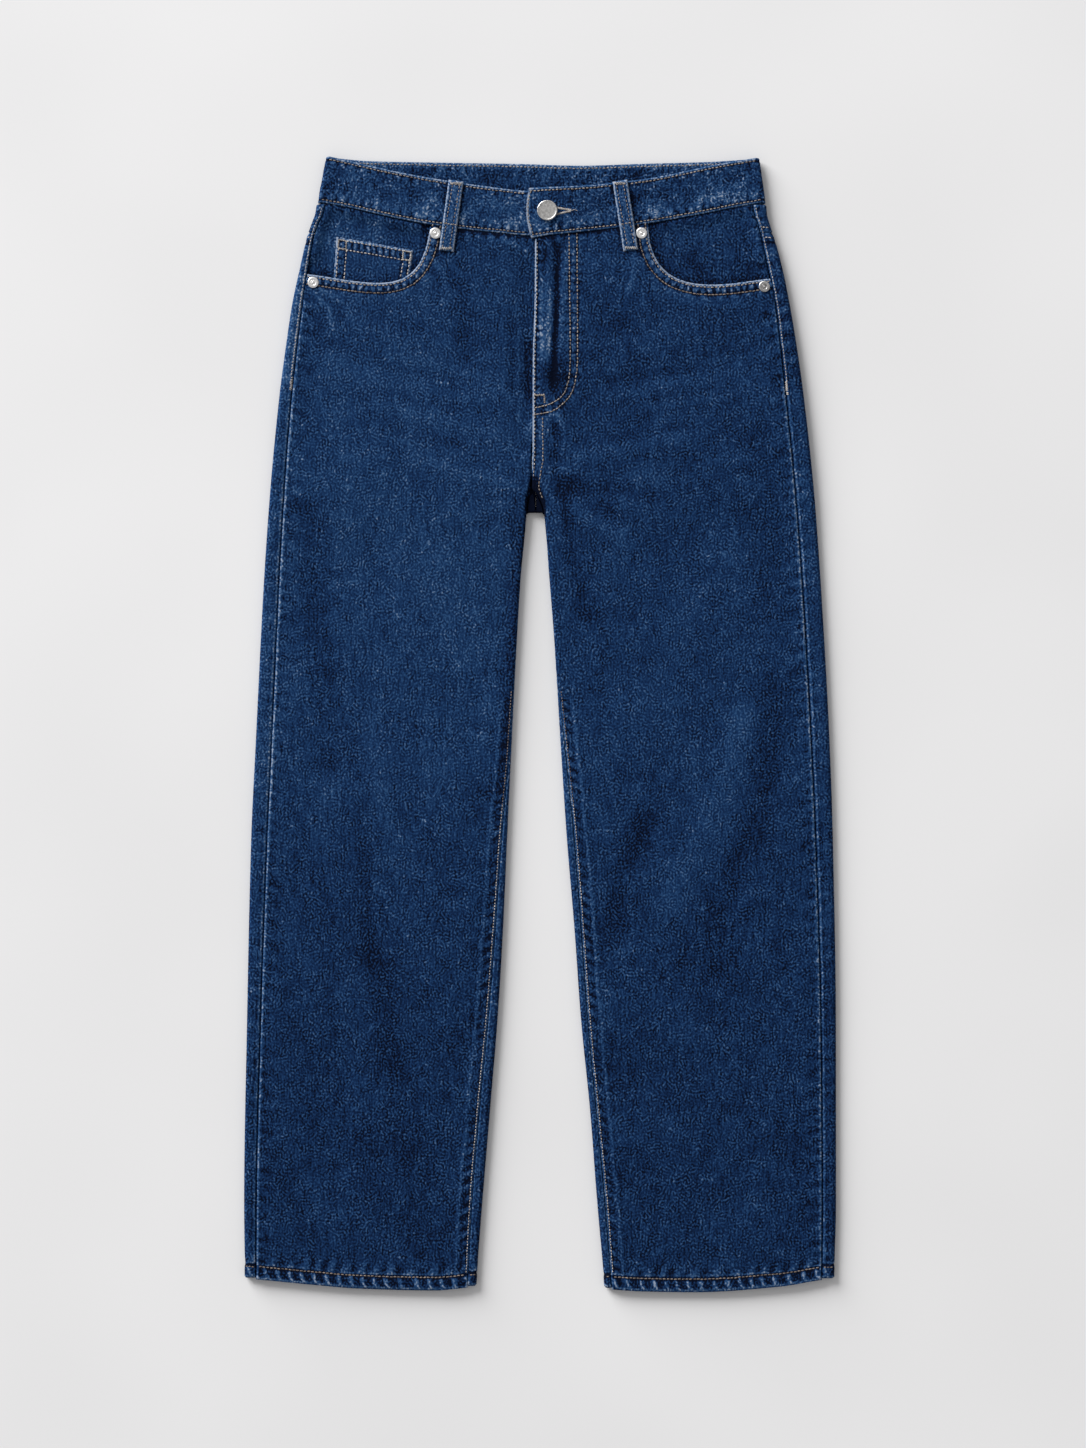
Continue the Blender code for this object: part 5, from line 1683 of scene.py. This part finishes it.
@dataclass(frozen=True)
class BeltLoop(ClothPart):
    """A belt loop: a narrow strip whose middle stands off the cloth."""

    ends: tuple[Point, Point]
    on_top: bool
    width: float = 13.0
    arch: float = 0.8

    def cut(self) -> Cloth:
        """Lay out its outer face."""
        (x_top, y_top), (x_low, y_low) = self.ends
        share = np.linspace(0, 1, 54)[:, None]
        across = np.linspace(-0.5, 0.5, 18)[None, :] * self.width
        x = x_top + (x_low - x_top) * share + across
        y = y_top + (y_low - y_top) * share + (x_low - x_top) / (y_top - y_low) * across
        arched = 8.9 + PATCH + self.arch * np.sin(pi * share) + 0 * across
        z = arched if self.on_top else 0.0 * x
        return Cloth(np.stack([x, y, z], axis=-1), PATCH, looks_up=self.on_top)

    def shape(self, r: Cloth) -> None:
        """Work its relief, wear and shade."""
        x, y, start = r.x, r.y, self.ends[0][0]
        r.shade += wash(x, y) + 0.18
        r.wear += 0.12 * np.random.default_rng(int(start + 900)).normal(0, 1, x.shape)
        seed = 900 + int(start + 200)
        for away in (r.side, r.inner):
            r.round_edge(away, 1.1)
            r.line(away, 0.7, 0.9, 0.62)
            r.bed(away, 3.4, 0.25, 0.8)
            r.ladder(away, y, 6, seed, 5, 0.14, 0.08)
        for away in (r.top, r.low):
            r.round_edge(away, 1.1)
            r.line(away, 0.9, 1.4, 0.4)
            r.height -= 0.35 * bell(away - 2.4, 1.6)
        r.height += 0.12 * Ripple(seed + 3, 5, 9)(x, y)
        r.height -= 0 if self.on_top else 0.15


# ---- trims

CAP = (  # a dished cap with a rolled rim, on a post through the buttonhole
    (0, 2.2), (2, 2.2), (4, 2.18), (6, 2.15), (7.3, 2.18), (7.6, 2.25), (7.85, 2.4), (8.1, 2.48),
    (8.35, 2.5), (8.6, 2.42), (8.8, 2.2), (8.95, 1.85), (9, 1.3), (8.9, 0.8), (8.5, 0.35), (7.8, 0.1),
    (6, 0), (2.4, 0), (2.3, -2.4), (2.2, -2.8), (0, -2.8),
)
STUD = (  # a ring with a shallow groove and a small nub
    (0, 1.6), (0.5, 1.55), (0.8, 1.3), (1, 0.8), (1.15, 0.2), (1.7, 0.15), (2.1, 0.7), (2.5, 0.95),
    (3.4, 1), (4.2, 0.98), (4.6, 0.85), (4.9, 0.5), (5, 0.2), (4.9, 0), (0, 0),
)


def ring_faces(steps: int, rings: int) -> list[list[int]]:
    """Faces between a first point, rings of points and a last point.

    Args:
        steps: Points round each ring.
        rings: Number of rings.

    Returns:
        Point numbers of each face.
    """
    faces, last = [], 1 + steps * rings
    for k in range(steps):
        n = (k + 1) % steps
        faces += [[0, 1 + k, 1 + n], [last, last - steps + n, last - steps + k]]
        for a in range(1, last - steps, steps):
            faces.append([a + k, a + steps + k, a + steps + n, a + n])
    return faces


@dataclass(frozen=True)
class Trim:
    """A turned metal piece; its profile runs from the top of its axis to the bottom of it."""

    piece: str
    node: str
    centre: Point
    base: float
    steps: int
    profile: tuple[Point, ...]  # (radius, level)

    def build(self, metal: Material) -> Object:
        """Turn the profile round its axis."""
        (x, y), base = self.centre, self.base
        angles = np.linspace(0, 2 * pi, self.steps, endpoint=False)
        points = [(x, y, base + self.profile[0][1])]
        for radius, level in self.profile[1:-1]:
            points += [(x + radius * cos(a), y + radius * sin(a), base + level) for a in angles]
        points.append((x, y, base + self.profile[-1][1]))
        faces = ring_faces(self.steps, len(self.profile) - 2)
        obj = link_mesh(self.piece, np.array(points), faces, metal, sharp=50)
        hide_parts(self.node)
        return obj


# ---- stitching


class Surface:
    """The cloth that stitches are laid on, seen from above and from below."""

    def __init__(self, pieces: Sequence[Object]) -> None:
        """Gather the faces of every piece of cloth."""
        points, faces = [], []
        for piece in pieces:
            start = len(points)
            faces += [[start + i for i in polygon.vertices] for polygon in piece.data.polygons]
            points += [vertex.co for vertex in piece.data.vertices]
        self.tree = BVHTree.FromPolygons(points, faces)

    def level(self, x: float, y: float, on_top: bool) -> float | None:
        """Level of the cloth at a place, in millimetres, or nothing where there is none."""
        spot = to_frame(np.array((x, y, 60.0 if on_top else -60)))
        hit = self.tree.ray_cast(Vector(spot), Vector((0, 0, -1 if on_top else 1)))[0]
        return None if hit is None else hit.z / MM


@dataclass
class Seamstress:
    """Collects the stitches of one group and makes them one piece."""

    surface: Surface
    name: str
    material: Material
    seed: int  # of the small differences between stitches
    on_top: bool = True
    levels: Point = (-1.0, 20.0)
    rings: tuple[Point, ...] = ((-0.30, 0.85), (0.0, 1.0), (0.30, 0.85))  # place along a stitch, width

    def __post_init__(self) -> None:
        """Start with no stitches."""
        self.random = np.random.default_rng(self.seed)
        self.stitches: list[tuple[Array, Array, float, float]] = []

    def between(self, low: float, high: float) -> "Seamstress":
        """Leave out the stitches that would land on cloth outside these levels."""
        self.levels = (low, high)
        return self

    def stitch(self, spot: Array, heading: Array, length: float, width: float, rise: float = 0.1) -> None:
        """Lay one stitch.

        Args:
            spot: Its middle.
            heading: Direction that it runs in.
            length: Its length.
            width: Its width.
            rise: How far its middle stands above the cloth.
        """
        ends = [spot + heading * length * offset for offset in (-0.35, 0.35)]
        levels = [self.surface.level(x, y, self.on_top) for x, y in ends]
        if None in levels or abs(levels[0] - levels[1]) > 1.2:
            return
        if not self.levels[0] < min(levels) <= max(levels) < self.levels[1]:
            return
        out = 1 if self.on_top else -1
        start, end = (np.array((x, y, z + out * rise)) for (x, y), z in zip(ends, levels))
        axis, middle = end - start, (start + end) / 2
        if not self.on_top:
            middle[2] = max(middle[2], 0.3)
        self.stitches.append((middle, axis / np.linalg.norm(axis), length, width))

    def row(self, line: Path | Line, pitch: float = 3.3, length: float = 2.5, width: float = 1.1) -> None:
        """Lay a row of stitches along a line, or through points.

        Args:
            line: The line or the points.
            pitch: Distance between two stitches.
            length: Length of a stitch.
            width: Width of a stitch.
        """
        path = line if isinstance(line, Path) else Path.through(line)
        for spot, heading in zip(*path.walk(pitch)):
            jitter = self.random.normal(0, (0.1, 0.1, 0.07, 0.05))
            turned = heading + jitter[2] * np.array((-heading[1], heading[0]))
            self.stitch(spot + jitter[:2], turned, length * (1 + jitter[3]), width)

    def bartack(self, start: Point, end: Point, width: float, pitch: float = 0.85) -> None:
        """Lay a dense bar of short stitches from start to end.

        Args:
            start: One end of the bar.
            end: The other end.
            width: Width of the bar.
            pitch: Distance between its stitches.
        """
        path = Path.through([start, end], 0.5)
        for number, (spot, heading) in enumerate(zip(*path.walk(pitch))):
            lean = 0.25 if number % 2 else -0.25
            across = np.array((-heading[1], heading[0])) + lean * heading
            across /= np.linalg.norm(across)
            self.stitch(spot + self.random.normal(0, 0.12, 2), across, width, 0.75, 0.22)

    def piece(self) -> Object:
        """Make every stitch of the group as one object."""
        around = np.linspace(0, 2 * pi, 6, endpoint=False)
        rings = [(at, size * cos(a) / 2, size * sin(a) / 2) for at, size in self.rings for a in around]
        template = np.array([(-0.5, 0, 0), *rings, (0.5, 0, 0)])
        faces = [[face[0], *face[:0:-1]] for face in ring_faces(len(around), len(self.rings))]
        points, polygons = [], []
        for number, (middle, axis, length, width) in enumerate(self.stitches):
            side = np.cross((0, 0, 1), axis)
            side /= np.linalg.norm(side)
            up = np.cross(axis, side)
            points.append(middle + template @ np.stack([axis * length, side * width, up * width * 0.72]))
            shift = number * len(template)
            polygons += [[shift + i for i in face] for face in faces]
        obj = link_mesh(self.name, np.concatenate(points), polygons, self.material, sharp=80)
        return obj


@dataclass(frozen=True)
class Stitching:
    """All the visible sewing: topstitching rows, bartacks and the buttonhole."""

    surface: Surface
    dyes: Dyehouse

    def build(self) -> list[Object]:
        """Sew every group in order."""
        makers = (
            self.waist_rows, self.loops, self.pockets, self.coin, self.fly, self.side_seams,
            self.inseams, self.hems, self.seat, self.back_patches,
        )
        return [group.piece() for maker in makers for group in maker()]

    def group(self, name: str, material: Material, seed: int, on_top: bool = True) -> Seamstress:
        """Start a group of stitches."""
        return Seamstress(self.surface, f"stitches_{name}", material, seed, on_top)

    def waist_rows(self) -> list[Seamstress]:
        """Rows along both edges of the waistband, outside and inside, and the buttonhole."""
        top = self.group("waistband", self.dyes.tan, 11)
        under = self.group("waistband_back", self.dyes.tan, 12, on_top=False)
        for share in (0.065, 0.935):
            left, right, back = (
                [(r[0] + (r[2] - r[0]) * share, r[1] + (r[3] - r[1]) * share) for r in rows]
                for rows in (LEFT_BAND, RIGHT_BAND[:-2], BACK_BAND)
            )
            top.between(6.5, 12).row(left)
            top.row(right)
            top.between(3, 6).row(back)
            under.row(back)
        end = [(-8.4, 469.6), (-10.9, 460), (-11.2, 450), (-9.2, 440), (-6.4, 430.6)]
        top.between(6.5, 12).row(end)
        slot = self.group("buttonhole", self.dyes.pale, 13)
        for lean in (1, -1):
            points = [(14.2, 451.6 + 3.0 * lean), (20, 451.9 + 1.7 * lean), (26.5, 452.1 + 0.5 * lean)]
            for spot, heading in zip(*Path.through(points).walk(0.75)):
                slot.stitch(spot, np.array((-heading[1], heading[0])) + 0.3 * heading, 2, 0.8, 0.2)
        slot.row([(26.5, 452.2), (30, 452.8), (33, 451.4)], 1.6, 1.9, 0.6)
        return [top, under, slot]

    def loops(self) -> list[Seamstress]:
        """Two rows and the bartacks of each belt loop."""
        top = self.group("loops", self.dyes.tan, 21)
        tacks = self.group("loop_tacks", self.dyes.pale, 23)
        under = self.group("loops_back", self.dyes.tan, 22, on_top=False)
        for name, ((x_top, y_top), (x_low, y_low)) in LOOPS.items():
            rows, bars = (top, tacks) if name.startswith("front") else (under, under)
            line = Path.through([(x_top, y_top - 4), (x_low, y_low + 4)])
            for offset in (3.1, -3.1):
                rows.row(line.beside(offset), 3.3, 2.3, 0.7)
            for x, y in ((x_top, y_top - 2.4), (x_low, y_low + 2.4)):
                bars.bartack((x - 5.2, y), (x + 5.2, y), 2.6)
        return [top, tacks, under]

    def pockets(self) -> list[Seamstress]:
        """Double rows along the front pockets' openings."""
        upper = self.group("front_pockets", self.dyes.tan, 31)
        lower = self.group("front_pockets_low", self.dyes.brown, 31)
        for group, away, length in ((upper, 2.4, 2.5), (lower, 9, 3.2)):
            for side in Side:
                line = HALVES[side].pocket.beside(side.sign * away)
                group.between(7.4, 10).row(line, 3.3, length, 1.15)
        return [upper, lower]

    def coin(self) -> list[Seamstress]:
        """Rows of the coin pocket, and the tacked boxes at its upper corners."""
        group = self.group("coin_pocket", self.dyes.pale, 41).between(5.8, 7.6)
        a, b, c, d = (np.array(corner) for corner in COIN_OUTLINE)
        down, across = (d - a) / np.linalg.norm(d - a), (b - a) / np.linalg.norm(b - a)
        for away in (2.2, 10):
            group.row([a + down * away + (2, -0.3), b + down * away - (2, -0.3)])
        for start, end, sign in ((a, d, 1), (b, c, -1)):
            for away, drop in ((2.2, -3), (9, -11)):
                group.row([start + (sign * away, drop), end + (sign * away, 2)])
            around = ((2, 2), (9, 2), (9, 9.6), (2, 9.6), (2, 2))
            box = [start + sign * across * u + down * v for u, v in around]
            for first, last in zip(box, box[1:]):
                group.bartack(first, last, 1.5)
        return [group]

    def fly(self) -> list[Seamstress]:
        """The fly's edge row, its two curved rows and its tacks."""
        edge = self.group("fly_edge", self.dyes.pale, 51)
        line = [(-2.9, 425), (-3.4, 374), (-5, 321), (-5.1, 265), (-5.2, 240), (-6, 218)]
        edge.row(line, 3.4, 2.2, 0.9)
        curve = self.group("fly_curve", self.dyes.tan, 52)
        for line in (J_OUTER, J_INNER):
            curve.row(line[:3])
            curve.row(line[2:], 3, 3.1, 1)
        curve.bartack((-5.6, 290), (3.8, 290), 1.9)
        curve.bartack((3.6, 289), (3.6, 283), 1.7)
        curve.row([(1.8, 270.7), (2.2, 235.3), (0.3, 222.2), (-1.3, 210.1), (2.2, 198)])
        return [edge, curve]

    def side_seams(self) -> list[Seamstress]:
        """The short upper stretch of topstitching on each side seam, and its tack."""
        group = self.group("side_seams", self.dyes.pale, 61)
        for side, low in ((Side.RIGHT, 306), (Side.LEFT, 302)):
            seam, sign, y = HALVES[side].seam, side.sign, np.linspace(455, low, 24)
            group.row(list(zip(sign * (seam(y) + 1.9), y)), 2.7, 2.1, 0.75)
            start, end = ((sign * (float(seam(y)) + 1.2), y) for y in (low, low - 12))
            group.bartack(start, end, 2.6)
            for y in (436.6, 427.6):
                x = sign * (float(seam(y)) + 2.4)
                group.row([(x, y + 1.2), (x + sign * 11, y)], 2.9)
        return [group]

    def inseams(self) -> list[Seamstress]:
        """One row down each inseam on the front."""
        upper = self.group("inseams_high", self.dyes.brown, 71)
        lower = self.group("inseams", self.dyes.pale, 71)
        for group, y in ((upper, np.linspace(30, -70, 60)), (lower, np.linspace(-70, -483, 60))):
            for side in Side:
                x = side.sign * (HALVES[side].inner_seam(y) + 2)
                group.row(list(zip(x, y)), 2.6, 1.9, 0.85)
        return [upper, lower]

    def hems(self) -> list[Seamstress]:
        """The rows that hold the hems, front and back."""
        front = self.group("hems", self.dyes.brown, 82)
        back = self.group("hems_back", self.dyes.brown, 81, on_top=False)
        share = np.linspace(0.012, 0.988, 40)
        for group, lift in ((front, HEM_DEPTH), (back, HEM_DEPTH + 1.5)):
            for side in Side:
                half, sign = HALVES[side], side.sign
                y = half.hem(share) + lift
                inner, outer = half.inner_seam(y), half.seam(y)
                group.row(list(zip(sign * (outer + (inner - outer) * share), y)), 3.3, 2.9, 1.2)
                if group is back:
                    continue
                for seam, fold, at, out in ((outer, half.fold, 0, 1), (inner, half.inner_fold, -1, -1)):
                    start = (sign * (seam[at] + 1.2 * out), y[at])
                    end = (sign * (float(fold(y[at])) - 0.8 * out), y[at] + 0.2)
                    group.row([start, end], 2.8)
        return [front, back]

    def seat(self) -> list[Seamstress]:
        """Double rows beside the yoke seams and the seat seam."""
        group = self.group("seat", self.dyes.tan, 91, on_top=False)
        yoke, share = gauges(YOKE_SEAM)[0], np.linspace(0.03, 0.99, 40)
        for side in Side:
            for away in (2.3, 8.8):
                group.row(list(zip(side.sign * (1 - share) * 203, yoke(share) - away)))
        y = np.linspace(372, 214, 30)
        for away in (2.3, 8.8):
            group.row(list(zip(centre_back(y) + away, y)))
        return [group]

    def back_patches(self) -> list[Seamstress]:
        """Double rows round the back pockets."""
        group = self.group("back_pockets", self.dyes.tan, 95, on_top=False)
        for side in Side:
            corners = np.array([(side.sign * x, y) for x, y in BACK_POCKET])
            for away in (2.2, 8.5):
                inset = [inset_corner(corners, k, away) for k in range(5)]
                for k in range(1, 5):
                    group.row([inset[k], inset[(k + 1) % 5]])
            group.row([inset_corner(corners, k, 12) for k in (0, 1)])
        return [group]


def inset_corner(corners: Array, number: int, away: float) -> Array:
    """A corner of an outline moved in from both of its edges.

    Args:
        corners: The outline's corners.
        number: Which corner.
        away: Distance from both edges.

    Returns:
        The moved corner.
    """
    ring = np.roll(corners, 1 - number, axis=0)[:3]
    edges = np.diff(ring, axis=0)
    normals = np.stack([-edges[:, 1], edges[:, 0]], axis=1) / np.linalg.norm(edges, axis=1)[:, None]
    normals *= np.sign(((corners.mean(axis=0) - ring[:2]) * normals).sum(axis=1))[:, None]
    return np.linalg.solve(normals, (normals * ring[:2]).sum(axis=1) + away)


# ---- studio


@dataclass(frozen=True)
class Studio:
    """The floor, one big soft light from the upper left, an even fill and the camera."""

    floor_size: float = 12.0
    light_distance: float = 18.0
    light_size: float = 13.0
    light_power: float = 6400.0
    light_heading: tuple[float, float] = (-0.65, 0.76)
    elevation: float = 20.0
    fill: float = 0.41
    camera_height: float = 4.004
    lens: float = 113.0
    centre: Point = (0.0026, 0.0004)

    def build(self) -> None:
        """Set up the studio."""
        self.floor()
        self.light()
        self.camera()

    def floor(self) -> None:
        """Lay the paper."""
        half = self.floor_size / 2
        corners = [(-half, -half, 0), (half, -half, 0), (half, half, 0), (-half, half, 0)]
        mesh = bpy.data.meshes.new("studio_floor")
        mesh.from_pydata(corners, [], [(0, 1, 2, 3)])
        mesh.materials.append(StudioPaper().material())
        obj = link("studio_floor", mesh)
        obj.location.z = -0.0001

    def light(self) -> None:
        """Hang the light and set the fill."""
        data = bpy.data.lights.new("soft_key", "AREA")
        data.shape, data.size, data.energy = "DISK", self.light_size, self.light_power
        obj, rise = link("soft_key", data), radians(self.elevation)
        heading = Vector((*(part * cos(rise) for part in self.light_heading), sin(rise)))
        obj.location = heading * self.light_distance
        obj.rotation_euler = heading.to_track_quat("Z", "Y").to_euler()
        world = bpy.data.worlds.new("studio_fill")
        world.use_nodes = True
        background = world.node_tree.nodes["Background"]
        background.inputs["Color"].default_value = (1.0, 0.995, 1.0, 1)
        background.inputs["Strength"].default_value = self.fill
        bpy.context.scene.world = world

    def camera(self) -> None:
        """Look straight down at the garment."""
        data = bpy.data.cameras.new("overhead")
        data.sensor_fit, data.sensor_width, data.lens = "AUTO", 36, self.lens
        data.clip_end = 50.0
        obj = link("overhead", data)
        obj.location = (*self.centre, self.camera_height)
        bpy.context.scene.camera = obj
        bpy.context.scene.view_settings.view_transform = "Standard"


# ---- assembly


def report(obj: Object) -> Object:
    """Log a finished piece."""
    LOG.info("%s: %d faces", obj.name, len(obj.data.polygons))
    return obj


def belt_loop(name: str, length: float, area: float, *rests_on: str) -> BeltLoop:
    """A belt loop with its ticket."""
    ticket = Ticket(f"loop_{name}", f"belt_loop_{name}", 0.013, length, area, rests_on)
    return BeltLoop(ticket, LOOPS[name], on_top=bool(rests_on))


def cloth_parts() -> list[ClothPart]:
    """Every piece of cloth with its ticket, in order."""
    parts: list[ClothPart] = []
    for side in Side:
        s = side.label
        front = Ticket(f"front_{s}_panel", f"front_{s}", 0.262, 0.935, 0.182, (f"back_{s}",))
        back = Ticket(f"back_{s}_panel", f"back_{s}", 0.29, 0.925, 0.226, (f"back_pocket_{s}",))
        yoke = Ticket(f"yoke_{s}_panel", f"yoke_{s}", 0.215, 0.078, 0.0112, (f"belt_loop_back_{s}",))
        facing = Ticket(
            f"pocket_facing_{s}_panel", f"pocket_facing_{s}", 0.14, 0.11, 0.0128, (f"back_{s}", f"yoke_{s}")
        )
        pocket = Ticket(f"back_pocket_{s}_patch", f"back_pocket_{s}", 0.143, 0.16, 0.018)
        parts += [
            FrontPanel(front, side), BackPanel(back, side), Yoke(yoke, side), PocketFacing(facing, side),
            BackPocket(pocket, side), belt_loop(f"front_{s}", 0.0625, 0.0008, "waistband"),
        ]
    loops = [f"back_{place}" for place in ("right", "centre", "left")]
    below = tuple(f"belt_loop_{name}" for name in loops)
    coin = Ticket("coin_pocket_patch", "coin_pocket", 0.07, 0.07, 0.0045, ("pocket_facing_right",))
    band = Ticket("waistband_strip", "waistband", 0.812, 0.04, 0.0325, below)
    return [*parts, *(belt_loop(name, 0.0615, 0.00079) for name in loops), CoinPocket(coin), Waistband(band)]


def main() -> None:
    """Build every piece of the jeans and the studio."""
    logging.basicConfig(level=logging.INFO, format="%(name)s %(message)s")
    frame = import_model()
    dyes = Dyehouse()
    Studio().build()
    cloth = [report(part.build(dyes.denim)) for part in cloth_parts()]
    report(Trim("shank_button", "button", BUTTON, BUTTON_SEAT, 64, CAP).build(dyes.nickel))
    for node, (x, y) in RIVETS.items():
        stud = Trim(node.replace("rivet", "stud"), node, (x, y), float(TOP(y)) + SEAM, 40, STUD)
        # the left side rivet takes the darker copy of the nickel as painted shade
        report(stud.build(dyes.painted_shade_nickel if node == "rivet_side_left" else dyes.bright))
    zip_node = frame["nodes"]["fly_zip"]
    zip_node.data.materials.clear()
    zip_node.data.materials.append(dyes.tape)
    for obj in Stitching(Surface(cloth), dyes).build():
        report(obj)


if __name__ == "__main__":
    main()
